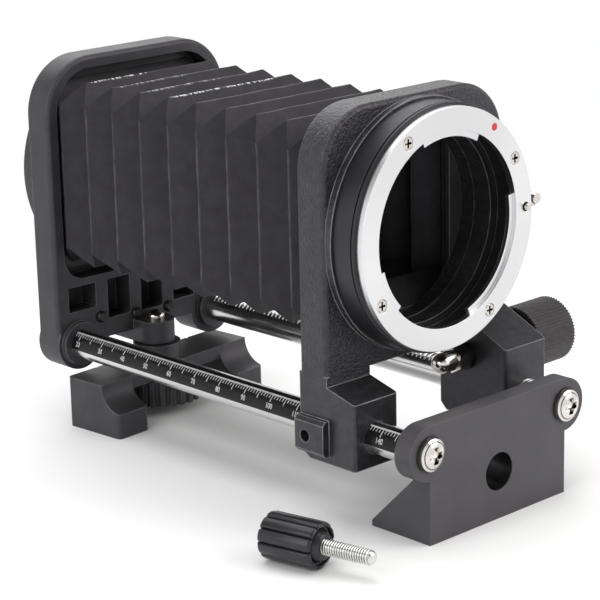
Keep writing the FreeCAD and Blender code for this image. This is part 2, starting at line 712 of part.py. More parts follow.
def rear_standard():
    """The rear casting: a deep frame with a pocketed web, rail lobes and a boss for the swivelling foot."""
    body = new_body("rear_standard")
    inner = half_frame - s.rear_wall
    face = sketch_on(body, "XZ_Plane", "rear_face", -rear_back)
    rectangle(face, -half_frame, half_frame, rear_web_low, rear_top)
    pad(body, face, s.rear_depth)
    fillet(body, "y", [(half_frame, rear_top), (-half_frame, rear_top)], s.frame_corner)
    fillet(body, "x", [(rear_front, rear_top), (rear_back, rear_top)], s.frame_edge)
    lobes = sketch_on(body, "XZ_Plane", "rear_lobes", -rear_back)
    for side in (-1, 1):
        circle(lobes, side * (half_frame - s.rear_lobe), s.rail_height, s.rear_lobe)
    pad(body, lobes, s.rear_depth)
    opening = sketch_on(body, "XZ_Plane", "rear_opening", -rear_front)
    rounded_rectangle(opening, -inner, inner, opening_low, opening_top,
                      s.rear_opening_low_round, s.rear_opening_round)
    pocket(body, opening, s.rear_depth - s.rear_back_wall)
    boss = sketch_on(body, "XZ_Plane", "rear_boss", -rear_back)
    circle(boss, 0, axis_z, s.rear_boss_radius)
    pad(body, boss, s.rear_boss_depth, back=True)
    seat = sketch_on(body, "XZ_Plane", "camera_ring_seat", -flange_back)
    circle(seat, 0, axis_z, s.camera_ring + s.seat_play)
    pocket(body, seat, s.camera_ring_thick, forward=True)
    throat = sketch_on(body, "XZ_Plane", "rear_throat", -flange_back)
    circle(throat, 0, axis_z, s.throat_rear)
    pocket(body, throat, s.rear_boss_depth + s.rear_depth, forward=True)
    pockets = sketch_on(body, "XZ_Plane", "web_pockets", -rear_front)
    roof = opening_low - s.pocket_sill
    for left, right, floor in web_pockets():
        rectangle(pockets, left, right, s.rail_height + floor, roof)
    pocket(body, pockets, s.pocket_depth)
    collars = sketch_on(body, "XZ_Plane", "rail_collars", -rear_front)
    for side in (-1, 1):
        circle(collars, side * rail_x, s.rail_height, s.collar_radius)
    pad(body, collars, s.collar_depth)
    sockets = sketch_on(body, "XZ_Plane", "rail_sockets", -rear_front + s.collar_depth)
    holes = sketch_on(body, "XZ_Plane", "rear_screw_holes", -rear_back)
    for side in (-1, 1):
        circle(sockets, side * rail_x, s.rail_height, s.rail_radius + s.seat_play)
        circle(holes, side * rail_x, s.rail_height, s.rail_screw_hole)
    pocket(body, sockets, s.rail_seat + s.collar_depth)
    pocket(body, holes, s.rear_depth, forward=True)
    post = sketch_on(body, "XY_Plane", "stud_post", stud_boss_low)
    circle(post, 0, stud_y, s.stud_boss)
    pad(body, post, stud_boss_top - stud_boss_low)
    bridge = sketch_on(body, "XY_Plane", "stud_bridge", stud_boss_low)
    rectangle(bridge, -s.stud_boss, s.stud_boss, stud_y, rear_back)
    pad(body, bridge, stud_boss_top - stud_boss_low)
    bore = sketch_on(body, "XY_Plane", "stud_bore", stud_boss_top)
    circle(bore, 0, stud_y, s.stud_radius + s.stud_running)
    pocket(body, bore, stud_boss_top - stud_boss_low)
    return keep("rear_standard", body)


# Places round the optical axis, in degrees: the camera mount's lugs and screws, the lens ring's screws,
# and where each of that ring's three inward tabs starts and ends.
CAMERA_LUG_TURNS = (20, 140, 260)
CAMERA_SCREW_TURNS = (45, 135, 225, 315)
RING_SCREW_TURNS = (30, 121, 211, 302)
RING_TABS = [(62, 110), (196, 224), (289, 371)]


def place_on_circle(turn, radius):
    """The x and z of a place on a circle about the optical axis, with the turn in degrees from +X."""
    angle = math.radians(float(turn))
    return radius * math.cos(angle), axis_z + radius * math.sin(angle)


def camera_mount():
    """The ring behind the rear standard that locks into a camera: flange, tube and three lugs."""
    tube_end = flange_back + s.camera_tube_depth
    spot = (0, axis_z)
    flange = rod("camera_flange", s.camera_ring, "y", flange_back - s.camera_ring_thick, flange_back, spot)
    tube = rod("camera_tube_outside", s.camera_tube, "y", flange_back, tube_end, spot)
    lug_disc = rod("camera_lug_disc", s.camera_lug, "y", tube_end - s.camera_lug_thick, tube_end, spot)
    sectors = []
    for number, turn in enumerate(CAMERA_LUG_TURNS):
        sector = rod("camera_lug_sector_%d" % number, s.camera_lug + OVERLAP, "y",
                     tube_end - s.camera_lug_thick, tube_end, spot)
        bind(sector, "Angle", s.camera_lug_angle)
        sector.Placement = Placement(sector.Placement.Base, Rotation(Y_DIR, turn) * TURN["y"])
        sectors.append(sector)
    lugs = common("camera_lugs", lug_disc, fuse("camera_lug_sectors", *sectors))
    whole = fuse("camera_mount_whole", flange, tube, lugs)
    hole = rod("camera_hole", s.throat_rear, "y", flange_back - s.camera_ring_thick, tube_end, spot)
    screw_holes = []
    for number, turn in enumerate(CAMERA_SCREW_TURNS):
        place_of_screw = place_on_circle(turn, s.camera_screw_circle)
        screw_holes.append(rod("camera_screw_hole_%d" % number, s.small_screw_shank + s.seat_play, "y",
                               flange_back - s.camera_ring_thick, flange_back, place_of_screw))
    return keep("camera_mount", cut("camera_mount_cut", whole, hole, *screw_holes))


# Fasteners are turned profiles. Each is drawn along +Z with the underside of its head at the origin.

def turned(points):
    """Revolve a closed outline of (radius, height) points about Z."""
    corners = [Vector(float(radius), 0, float(height)) for radius, height in points]
    wire = Part.makePolygon(corners + corners[:1])
    return Part.Face(wire).revolve(Vector(), Z_DIR, 360)


def domed_screw(head, height, shank, length):
    """A screw with a low rim, a crown that is part of a sphere and a cross-shaped recess."""
    head, height, shank, length = [float(value) for value in (head, height, shank, length)]
    rise = height * CROWN_SHARE
    sphere = (head * head + rise * rise) / (2 * rise)
    lean = math.asin(head / sphere) / 2
    rim = Vector(head, 0, height - rise)
    middle = Vector(sphere * math.sin(lean), 0, height - sphere + sphere * math.cos(lean))
    top = Vector(0, 0, height)
    corners = [top, Vector(0, 0, -length), Vector(shank, 0, -length), Vector(shank, 0, 0),
               Vector(head, 0, 0), rim]
    edges = [Part.LineSegment(*pair).toShape() for pair in zip(corners, corners[1:])]
    edges.append(Part.Arc(rim, middle, top).toShape())
    screw = Part.Face(Part.Wire(edges)).revolve(Vector(), Z_DIR, 360)
    recess = cross_tool(head * RECESS_REACH, head * RECESS_HALF_WIDTH, height * RECESS_FLOOR, height + OVERLAP)
    return screw.cut(recess)


def cross_tool(arm, width, low, high):
    """The shape of a cross-shaped recess, between two heights."""
    along = Part.makeBox(2 * arm, 2 * width, high - low, Vector(-arm, -width, low))
    across = Part.makeBox(2 * width, 2 * arm, high - low, Vector(-width, -arm, low))
    return along.fuse(across).removeSplitter()


def copies(name, shape, spots, turn):
    """One node that holds a copy of the shape at each spot, with its axis turned from +Z."""
    placed = []
    for spot in spots:
        one = shape.copy()
        one.Placement = Placement(Vector(*[float(value) for value in spot]), turn)
        placed.append(one)
    return keep(name, solid(name + "_group", Part.makeCompound(placed)))


FACING_FRONT = Rotation(X_DIR, 90)
FACING_BACK = Rotation(X_DIR, -90)


def small_screws():
    depth = s.camera_ring_thick - s.face_gap
    screw = domed_screw(s.ring_screw_head, s.small_screw_height, s.small_screw_shank, depth)
    spots = [(x, flange_back, z) for x, z in
             (place_on_circle(turn, s.camera_screw_circle) for turn in CAMERA_SCREW_TURNS)]
    copies("camera_mount_screws", screw, spots, FACING_BACK)
    spots = [(s.web_screw1_x, rear_front, s.rail_height + s.web_screw1_z),
             (s.web_screw2_x, rear_front, s.rail_height + s.web_screw2_z),
             (s.web_screw3_x, rear_front, s.rail_height + s.web_screw3_z)]
    copies("web_screws", web_screw(), spots, FACING_FRONT)


def web_screw():
    """A small round head that stands on the web's face."""
    return turned([(0, 0), (s.web_screw_head, 0), (s.web_screw_head, s.web_screw_rim),
                   (s.web_screw_crown, s.web_screw_height), (0, s.web_screw_height)])


def at_rails(y):
    """The two places on the rails' axes at one place along them."""
    return [(side * rail_x, y, s.rail_height) for side in (-1, 1)]


def rail_screws():
    """The screws that hold the rails: in front through the bracket, behind through the rear standard."""
    length = s.bracket_thick + s.bracket_washer_thick + s.rail_tap_depth - s.tap_end
    screw = domed_screw(s.pan_head, s.pan_height, s.rail_tap - s.seat_play, length)
    copies("bracket_screws", screw, at_rails(bracket_front - s.bracket_washer_thick), FACING_FRONT)
    washer = turned([(s.rail_screw_hole, 0), (s.bracket_washer, 0),
                     (s.bracket_washer, s.bracket_washer_thick), (s.rail_screw_hole, s.bracket_washer_thick)])
    copies("bracket_washers", washer, at_rails(bracket_front), FACING_FRONT)
    rear_length = s.rear_depth - s.rail_seat + s.rail_tap_depth - s.tap_end
    rear = domed_screw(s.rear_screw_head, s.rear_screw_height, s.rail_tap - s.seat_play, rear_length)
    copies("rail_rear_screws", rear, at_rails(rear_back), FACING_BACK)


# Front bracket

def front_bracket():
    """The bracket that ties the rails together in front and stands on the table on a sloping toe."""
    body = new_body("front_bracket")
    half = rail_x
    top = s.rail_height + s.bracket_lobe
    toe = bracket_front + s.base_length
    side = sketch_on(body, "YZ_Plane", "bracket_side", -half)
    outline(side, [(bracket_front, 0), (toe, 0), (toe, s.bracket_toe), (bracket_back, s.bracket_slope_top),
                   (bracket_back, top), (bracket_front, top)])
    pad(body, side, 2 * half)
    lobes = sketch_on(body, "XZ_Plane", "bracket_lobes", -bracket_back)
    holes = sketch_on(body, "XZ_Plane", "bracket_screw_holes", -bracket_front)
    for sign in (-1, 1):
        circle(lobes, sign * rail_x, s.rail_height, s.bracket_lobe)
        circle(holes, sign * rail_x, s.rail_height, s.rail_screw_hole)
    pad(body, lobes, s.bracket_thick)
    pocket(body, holes, s.bracket_thick)
    hole = sketch_on(body, "XZ_Plane", "bracket_hole", -bracket_front)
    circle(hole, 0, s.bracket_hole_height, s.bracket_hole)
    pocket(body, hole, s.base_length)
    return keep("front_bracket", body)


# Bellows

def section(half, rise, y, grow):
    """A rectangular section of the bellows, grown outwards by a length."""
    x = float(half) + grow
    z = float(rise) + grow
    middle = float(bellows_middle)
    corners = [Vector(sx * x, float(y), middle + sz * z) for sx, sz in ((-1, -1), (1, -1), (1, 1), (-1, 1))]
    return Part.makePolygon(corners + corners[:1])


def bellows_places():
    """The sections of the bellows from its front plate to its rear plate: a collar, then whole pleats."""
    rear = rear_back - s.rear_back_wall - s.bellows_frame_thick - s.seat_play
    step = s.bellows_pitch / 2
    narrow = (narrow_half, narrow_rise)
    wide = (wide_half, wide_rise)
    count = round((float(rear) - float(carriage_rear) - float(s.bellows_collar)) / float(s.bellows_pitch))
    places = [(*narrow, carriage_rear)]
    for k in range(2 * count):
        half, rise = narrow if k % 2 == 0 else wide
        places.append((half, rise, carriage_rear + s.bellows_collar + k * step))
    places.append((*narrow, rear))
    return places


def bellows():
    """The folded cloth: flat facets between narrow tall and wide low sections, open from end to end."""
    places = bellows_places()
    outside = Part.makeLoft([section(half, rise, y, 0) for half, rise, y in places], True, True)
    skin = -float(s.bellows_skin)
    inner = [section(half, rise, y, skin) for half, rise, y in places]
    inside = Part.makeLoft(inner, True, True)
    return keep("bellows", solid("bellows_cloth", outside.cut(inside)))


def bellows_frame(name, back):
    """A thin plate with rounded corners and a window, which holds one end of the bellows."""
    body = new_body(name)
    half = narrow_half - s.bellows_skin
    rise = narrow_rise - s.bellows_skin
    plate = sketch_on(body, "XZ_Plane", name + "_plate", -back)
    bellows_plate_outline(plate, 0)
    pad(body, plate, s.bellows_frame_thick)
    window = sketch_on(body, "XZ_Plane", name + "_window", -(back - s.bellows_frame_thick))
    rectangle(window, -half, half, bellows_middle - rise, bellows_middle + rise)
    pocket(body, window, s.bellows_frame_thick)
    return keep(name, body)


def bellows_plate_outline(sketch, grow):
    """The rounded outline shared by the bellows' plates and their seats."""
    half = plate_half + grow
    rise = plate_rise + grow
    rounded_rectangle(sketch, -half, half, bellows_middle - rise, bellows_middle + rise,
                      s.rear_opening_low_round, s.rear_opening_round)


# Front standard

def front_standard():
    """The sliding casting: a thick frame with a foot on the scaled rail and a housing for the pinion."""
    body = new_body("front_standard")
    frame = sketch_on(body, "XZ_Plane", "front_face", -carriage_rear)
    rectangle(frame, -half_frame, half_frame, front_low, front_top)
    pad(body, frame, s.front_depth)
    fillet(body, "y", [(half_frame, front_top), (-half_frame, front_top)], s.frame_corner)
    fillet(body, "x", [(carriage_front, front_top), (carriage_rear, front_top)], s.frame_edge)
    foot = sketch_on(body, "YZ_Plane", "left_foot", -half_frame)
    foot_front = carriage_rear - s.left_foot_reach
    outline(foot, [(carriage_rear, left_foot_low + s.foot_chamfer_rise),
                   (carriage_rear - s.foot_chamfer_run, left_foot_low),
                   (foot_front, left_foot_low),
                   (foot_front, left_foot_front_top),
                   (carriage_front, left_foot_top),
                   (carriage_front, front_low + OVERLAP),
                   (carriage_rear, front_low + OVERLAP)])
    pad(body, foot, s.left_foot_width)
    fillet(body, "z", [(-half_frame, foot_front), (-half_frame + s.left_foot_width, foot_front)], s.foot_edge)
    housing = sketch_on(body, "YZ_Plane", "housing", housing_inner)
    housing_rear = carriage_rear - s.housing_setback
    outline(housing, [(housing_rear, housing_low + s.housing_chamfer),
                      (housing_rear - s.housing_chamfer, housing_low),
                      (housing_front, housing_low),
                      (housing_front, housing_front_top),
                      (carriage_front, housing_top),
                      (housing_rear, housing_top)])
    pad(body, housing, s.housing_width)
    fillet(body, "z", [(housing_inner, housing_front), (half_frame, housing_front)], s.foot_edge)
    boss = sketch_on(body, "XZ_Plane", "front_boss", -carriage_front)
    circle(boss, 0, axis_z, boss_radius)
    pad(body, boss, s.front_boss_depth)
    lock = sketch_on(body, "YZ_Plane", "lock_boss", -half_frame)
    lock_front = carriage_rear - s.lock_boss_length
    rectangle(lock, lock_front, carriage_rear, lock_boss_low, lock_boss_high)
    pad(body, lock, s.lock_boss_out, back=True)
    outer = -half_frame - s.lock_boss_out
    chamfer(body, "y", [(outer, lock_boss_low), (outer, lock_boss_high)], s.lock_boss_bevel)
    rails = sketch_on(body, "XZ_Plane", "rail_bores", -housing_front)
    for side in (-1, 1):
        circle(rails, side * rail_x, s.rail_height, s.rail_radius + s.slide_play)
    pocket(body, rails, s.housing_depth)
    throat = sketch_on(body, "XZ_Plane", "front_throat", -boss_front)
    circle(throat, 0, axis_z, throat_front)
    pocket(body, throat, s.front_boss_depth + s.front_depth)
    recess = sketch_on(body, "XZ_Plane", "bellows_seat", -carriage_rear)
    bellows_plate_outline(recess, s.seat_play)
    pocket(body, recess, s.bellows_frame_thick, forward=True)
    cavity = sketch_on(body, "YZ_Plane", "pinion_cavity", cavity_inner)
    circle(cavity, pinion_y, pinion_z, pinion_tip + s.face_gap)
    pocket(body, cavity, half_frame - cavity_inner, forward=True)
    bearing = sketch_on(body, "YZ_Plane", "inner_bearing", cavity_inner)
    circle(bearing, pinion_y, pinion_z, s.shaft_radius + s.slide_play)
    pocket(body, bearing, s.pinion_wall)
    screw = sketch_on(body, "YZ_Plane", "lock_screw_hole", outer)
    circle(screw, carriage_rear - s.lock_hole_setback, s.rail_height - s.lock_hole_drop, s.lock_hole)
    pocket(body, screw, s.lock_hole_depth, forward=True)
    pilot = sketch_on(body, "YZ_Plane", "lock_pilot_hole", outer)
    circle(pilot, carriage_rear - s.lock_hole_setback, s.rail_height - s.lock_hole_drop, s.lock_pilot)
    pocket(body, pilot, s.lock_boss_out + half_frame - rail_x, forward=True)
    return keep("front_standard", body)


# Lens mount

def mount_tube():
    """The black tube in front of the standard, with a groove behind its lip and a stepped bore."""
    spot = (0, axis_z)
    groove_front = tube_front + s.tube_groove_start
    groove_back = groove_front + s.tube_groove_width
    outside = rod("tube_outside", s.tube_radius, "y", tube_front, boss_front, spot)
    ring = rod("tube_groove_ring", s.tube_radius + OVERLAP, "y", groove_front, groove_back, spot)
    floor = s.tube_radius - s.tube_groove_depth
    core = rod("tube_groove_core", floor, "y", groove_front, groove_back, spot)
    groove = cut("tube_groove", ring, core)
    narrow = rod("tube_narrow_bore", throat_front, "y", tube_front, boss_front, spot)
    wide = rod("tube_wide_bore", tube_bore, "y", tube_front, tube_front + s.tube_step, spot)
    half = s.lever_height / 2 + s.face_gap
    slot = block("tube_lever_slot", (pin_circle - s.lever_inner - s.face_gap, s.tube_radius + s.face_gap),
                 (tube_front, tube_front + s.lever_slot_depth), (pin_z - half, pin_z + half))
    return keep("mount_tube", cut("mount_tube_cut", outside, groove, narrow, wide, slot))


def lens_mount_ring():
    """The bright ring that takes the lens, with three inward tabs, four screws and a hole for the pin."""
    spot = (0, axis_z)
    disc = rod("ring_disc", ring_radius, "y", ring_front, tube_front, spot)
    hole = rod("ring_hole", ring_bore, "y", ring_front, tube_front, spot)
    band = cut("ring_band", disc, hole)
    tabs = []
    for number, (start, end) in enumerate(RING_TABS):
        tab_front = tube_front - s.ring_tab_thick
        outer = rod("ring_tab_outer_%d" % number, ring_bore + OVERLAP, "y", tab_front, tube_front, spot)
        inner = rod("ring_tab_inner_%d" % number, ring_tab, "y", tab_front, tube_front, spot)
        outer.Angle = end - start
        outer.Placement = Placement(outer.Placement.Base, Rotation(Y_DIR, -end) * TURN["y"])
        tabs.append(cut("ring_tab_%d" % number, outer, inner))
    whole = fuse("ring_whole", band, *tabs)
    tools = []
    for number, turn in enumerate(RING_SCREW_TURNS):
        tools.append(rod("ring_screw_hole_%d" % number, s.ring_screw_head + s.seat_play, "y",
                         ring_front, tube_front, place_on_circle(turn, ring_screw_circle)))
    tools.append(rod("ring_pin_hole", s.pin_radius + s.pin_room, "y", ring_front, tube_front,
                     (pin_circle, pin_z)))
    tools.append(rod("ring_dot_hole", s.dot_radius + s.seat_play, "y", ring_front, ring_front + s.dot_depth,
                     place_on_circle(s.dot_turn, pin_circle)))
    return keep("lens_mount_ring", cut("lens_mount_ring_cut", whole, *tools))


def lens_mount_details():
    head = turned([(0, -s.ring_thick), (s.ring_screw_head, -s.ring_thick),
                   (s.ring_screw_head, -s.ring_screw_bevel), (s.ring_screw_head - s.ring_screw_bevel, 0), (0, 0)])
    head = head.cut(cross_tool(float(s.ring_screw_cross), float(s.ring_screw_cross_half),
                               -float(s.ring_screw_cross_depth), OVERLAP))
    spots = [(x, ring_front, z) for x, z in
             (place_on_circle(turn, ring_screw_circle) for turn in RING_SCREW_TURNS)]
    copies("ring_screws", head, spots, FACING_FRONT)
    keep("index_dot", rod("dot", s.dot_radius, "y", ring_front, ring_front + s.dot_depth,
                          place_on_circle(s.dot_turn, pin_circle)))
    lever_front = tube_front + s.face_gap
    lever_back = lever_front + s.lever_thick
    pin = rod("pin", s.pin_radius, "y", ring_front - s.pin_out, lever_back, (pin_circle, pin_z))
    keep("lock_pin", pin)
    half = s.lever_height / 2
    arm_plate = block("lever_arm", (pin_circle - s.lever_inner, lever_reach - s.lever_button),
                      (lever_front, lever_back), (pin_z - half, pin_z + half))
    button = rod("lever_button", s.lever_button, "y", lever_front - s.lever_button_lip,
                 lever_back + s.lever_button_lip, (lever_reach - s.lever_button, pin_z + s.lever_button_rise))
    hole = rod("lever_hole", s.pin_radius + s.seat_play, "y", lever_front, lever_back, (pin_circle, pin_z))
    keep("release_lever", cut("release_lever_cut", fuse("lever_whole", arm_plate, button), hole))


# Drive

def pinion_outline():
    """The pinion's outline in the plane of its teeth: a radial root, one arc per flank and a tip arc."""
    module = float(s.tooth_module)
    teeth = int(float(s.pinion_teeth))
    pitch = module * teeth / 2
    base = pitch * math.cos(PRESSURE_ANGLE)
    root = pitch - ROOT_DEPTH * module
    tip = pitch + module

    def half_angle(radius):
        turn = math.acos(min(1.0, base / radius))
        thick = math.pi / (2 * teeth) - float(s.backlash) / (2 * pitch)
        return thick + math.tan(PRESSURE_ANGLE) - PRESSURE_ANGLE - math.tan(turn) + turn

    def spot(radius, angle):
        return Vector(0, radius * math.sin(angle), -radius * math.cos(angle))

    edges = []
    flank = (max(base, root), (base + tip) / 2, tip)
    for tooth in range(teeth):
        middle = 2 * math.pi * tooth / teeth
        following = 2 * math.pi * (tooth + 1) / teeth
        left = [spot(radius, middle - half_angle(radius)) for radius in flank]
        right = [spot(radius, middle + half_angle(radius)) for radius in flank]
        foot_angle = half_angle(flank[0])
        foot_left = spot(root, middle - foot_angle)
        foot_right = spot(root, middle + foot_angle)
        next_left = spot(root, following - foot_angle)
        bottom = spot(root, (middle + following) / 2)
        edges.append(Part.LineSegment(foot_left, left[0]).toShape())
        edges.append(Part.Arc(*left).toShape())
        edges.append(Part.Arc(left[2], spot(tip, middle), right[2]).toShape())
        edges.append(Part.Arc(*right[::-1]).toShape())
        edges.append(Part.LineSegment(right[0], foot_right).toShape())
        edges.append(Part.Arc(foot_right, bottom, next_left).toShape())
    return Part.Wire(edges)


def pinion_shaft():
    """The shaft with its 24 teeth cut in one piece, and a thinner threaded end for the nuts."""
    start = cavity_inner + s.face_gap
    teeth = Part.Face(pinion_outline()).extrude(Vector(float(s.pinion_face), 0, 0))
    teeth.translate(Vector(float(start), float(pinion_y), float(pinion_z)))
    gear = solid("pinion_teeth_solid", teeth)
    spot = (pinion_y, pinion_z)
    washer_back = housing_inner - s.face_gap
    shaft_end = knob_start + s.knob_length - s.knob_end
    core = rod("shaft_core", s.shaft_radius, "x", washer_back, shaft_end, spot)
    thread_end = dome_start() + s.dome_floor + s.slide_play
    thread = rod("shaft_thread_end", s.shaft_thread, "x", thread_end, washer_back, spot)
    return keep("pinion_shaft", fuse("pinion_shaft_whole", gear, core, thread))


def dome_start():
    """Where the dome nut's straight part begins, at its rounded end."""
    return housing_inner - s.face_gap - s.washer_thick - s.nut_thick - s.dome_length


def drive_details():
    spot = (pinion_y, pinion_z)
    washer_out = housing_inner - s.face_gap
    washer_in = washer_out - s.washer_thick
    nut_in = washer_in - s.nut_thick
    hole = s.shaft_thread + s.seat_play
    washer = rod("washer_disc", s.washer_radius, "x", washer_in, washer_out, spot)
    washer_hole = rod("washer_hole", hole, "x", washer_in, washer_out, spot)
    keep("thrust_washer", cut("thrust_washer_cut", washer, washer_hole))
    prism = doc.addObject("Part::Prism", "nut_prism")
    prism.Polygon = 6
    bind(prism, "Circumradius", s.nut_flats / math.sqrt(3))
    bind(prism, "Height", s.nut_thick)
    prism.Placement = Placement(Vector(), TURN["x"])
    place(prism, nut_in, pinion_y, pinion_z)
    keep("lock_nut", cut("lock_nut_cut", prism, rod("nut_hole", hole, "x", nut_in, washer_in, spot)))
    start = dome_start()
    dome = fuse("dome_whole", rod("dome_straight", s.dome_radius, "x", start, nut_in, spot),
                ball("dome_end", s.dome_radius, start, pinion_y, pinion_z))
    dome_hole = rod("dome_hole", hole, "x", start + s.dome_floor, nut_in, spot)
    keep("dome_nut", cut("dome_nut_cut", dome, dome_hole))
    bush_in = half_frame - s.bush_depth
    seat = rod("bush_seat", pinion_tip + s.face_gap - s.seat_play, "x", bush_in, half_frame, spot)
    nose = rod("bush_nose", s.bush_nose, "x", half_frame, half_frame + s.bush_out, spot)
    bore = rod("bush_bore", s.shaft_radius + s.slide_play, "x", bush_in, half_frame + s.bush_out, spot)
    keep("pinion_bush", cut("pinion_bush_cut", fuse("bush_whole", seat, nose), bore))


def drive_knob():
    """The knurled knob, with a recess in its inner face and a blind bore for the shaft."""
    body = new_body("drive_knob")
    disc = sketch_on(body, "YZ_Plane", "knob_disc", knob_start)
    circle(disc, pinion_y, pinion_z, s.knob_radius)
    pad(body, disc, s.knob_length)
    recess = sketch_on(body, "YZ_Plane", "knob_recess", knob_start)
    circle(recess, pinion_y, pinion_z, s.knob_recess)
    pocket(body, recess, s.knob_recess_depth, forward=True)
    bore = sketch_on(body, "YZ_Plane", "knob_bore", knob_start)
    circle(bore, pinion_y, pinion_z, s.shaft_radius + s.seat_play)
    pocket(body, bore, s.knob_length - s.knob_end, forward=True)
    groove = centred_sketch(body, "YZ_Plane", "knob_groove", knob_start, pinion_y, pinion_z)
    circle(groove, 0, s.knob_radius, s.knob_groove)
    repeat_round(body, pocket(body, groove, s.knob_length, forward=True), groove, s.knob_grooves)
    return keep("drive_knob", body)


# Swivelling foot and its clamp

def rear_foot():
    """Two scooped wings joined by a web, with a collar round the stud; turned a little, as photographed."""
    web_low = s.foot_top - s.foot_web
    wings = []
    for side in (-1, 1):
        low, high = (s.foot_inner, s.foot_outer) if side > 0 else (-s.foot_outer, -s.foot_inner)
        wing = block("foot_wing_%d" % side, (low, high), (-s.foot_front, s.foot_back), (0, s.foot_top))
        corners = [(x, y) for x in (low, high) for y in (-s.foot_front, s.foot_back)]
        wing = rounded("foot_wing_rounded_%d" % side, wing, "z", corners, s.foot_rounding)
        scoop_spot = (-s.foot_front - s.foot_scoop_out, s.foot_top)
        scoop = rod("foot_scoop_%d" % side, s.foot_scoop, "x", low, high, scoop_spot)
        wings.append(cut("foot_wing_cut_%d" % side, wing, scoop))
    web = block("foot_web", (-s.foot_inner, s.foot_inner), (-s.foot_web_front, s.foot_back),
                (web_low, s.foot_top))
    collar = rod("foot_collar", s.foot_collar, "z", s.foot_top, stud_boss_low - s.face_gap)
    whole = fuse("foot_whole", wings[0], wings[1], web, collar)
    hole = rod("foot_hole", s.stud_radius + s.stud_running, "z", web_low, stud_boss_low - s.face_gap)
    foot = cut("rear_foot_cut", whole, hole)
    foot.Placement = Placement(Vector(), Rotation(Z_DIR, float(s.foot_yaw)))
    place(foot, 0, stud_y, 0)
    return keep("rear_foot", foot)


def clamp():
    """The fluted disc under the foot and the stud that it tightens, whose domed end shows on top."""
    body = new_body("clamp_disc")
    disc = sketch_on(body, "XY_Plane", "disc_outline", s.disc_low)
    circle(disc, 0, stud_y, s.disc_radius)
    pad(body, disc, s.disc_thick)
    bore = sketch_on(body, "XY_Plane", "disc_bore", disc_top)
    circle(bore, 0, stud_y, s.stud_radius + s.seat_play)
    pocket(body, bore, s.disc_thick)
    flute = centred_sketch(body, "XY_Plane", "disc_flute", disc_top, 0, stud_y)
    circle(flute, 0, s.disc_radius, s.disc_flute)
    repeat_round(body, pocket(body, flute, s.disc_thick), flute, s.disc_flutes)
    keep("clamp_disc", body)
    dome_base = stud_top - s.stud_dome
    shank = rod("stud_shank", s.stud_radius, "z", s.disc_low, dome_base, (0, stud_y))
    dome = doc.addObject("Part::Ellipsoid", "stud_dome")
    bind(dome, "Radius1", s.stud_dome)
    bind(dome, "Radius2", s.stud_radius)
    bind(dome, "Radius3", s.stud_radius)
    place(dome, 0, stud_y, dome_base)
    keep("clamp_stud", fuse("clamp_stud_whole", shank, dome))


# Loose thumbscrew

def thumbscrew():
    """The locking thumbscrew, lying on the table beside the unit."""
    head = rod("thumb_head", s.thumb_radius, "z", 0, s.thumb_length)
    grooves = []
    count = int(float(s.thumb_grooves))
    for number in range(count):
        angle = 2 * math.pi * (number + 0.5) / count
        spot = (s.thumb_radius * math.cos(angle), s.thumb_radius * math.sin(angle))
        grooves.append(rod("thumb_groove_%d" % number, s.thumb_groove, "z", 0, s.thumb_length, spot))
    boss = rod("thumb_boss_rod", s.thumb_boss, "z", s.thumb_length, s.thumb_length + s.thumb_boss_out)
    fluted = cut("thumb_fluted", head, *grooves)
    seat = s.thumb_length - s.thumb_stud_seat
    hole = rod("thumb_hole", s.thumb_stud + s.seat_play, "z", seat, s.thumb_length + s.thumb_boss_out)
    whole = cut("thumb_head_cut", fuse("thumb_head_whole", fluted, boss), hole)
    tip = s.thumb_length + s.thumb_stud_length
    shank = rod("thumb_shank", s.thumb_stud, "z", seat, tip - s.thumb_tip)
    end = taper("thumb_tip", s.thumb_stud, s.thumb_tip_radius, "z", tip - s.thumb_tip, tip)
    stud = fuse("thumb_stud_whole", shank, end)
    lying = Rotation(Z_DIR, float(s.thumb_turn)) * Rotation(X_DIR, 90)
    for item, name in ((whole, "thumbscrew_head"), (stud, "thumbscrew_stud")):
        item.Placement = Placement(Vector(), lying)
        place(item, s.thumb_x, s.thumb_y, s.thumb_radius)
        keep(name, item)


scaled_rail()
rack_rail()
rear_standard()
camera_mount()
small_screws()
rail_screws()
front_bracket()
bellows()
bellows_frame("bellows_rear_frame", rear_back - s.rear_back_wall)
bellows_frame("bellows_front_frame", carriage_rear)
front_standard()
mount_tube()
lens_mount_ring()
lens_mount_details()
pinion_shaft()
drive_details()
drive_knob()
rear_foot()
clamp()
thumbscrew()
doc.recompute()

for item in doc.Objects:
    if "Invalid" in item.State or "Error" in item.State:
        raise ValueError("this object failed: " + item.Label)
for name, item in pieces.items():
    if item.Shape.isNull() or not item.Shape.isValid():
        raise ValueError("this shape is not usable: " + name)
os.makedirs("parts", exist_ok=True)
for name, item in pieces.items():
    item.Shape.exportStep("parts/" + name + ".step")
    print(name, len(item.Shape.Solids), "solids,", round(item.Shape.Volume, 1), "mm3")
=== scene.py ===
# %% [markdown]
# # A macro bellows unit
# This notebook dresses a working model of a macro bellows: two rails, a rear standard, a sliding front
# standard with its lens ring, and a pleated bellows between them. The solids, their places and their
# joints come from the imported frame. Here each one gets its real finish, and the soft or finely detailed
# pieces are modelled again as meshes.

# %% Load the frame
import math

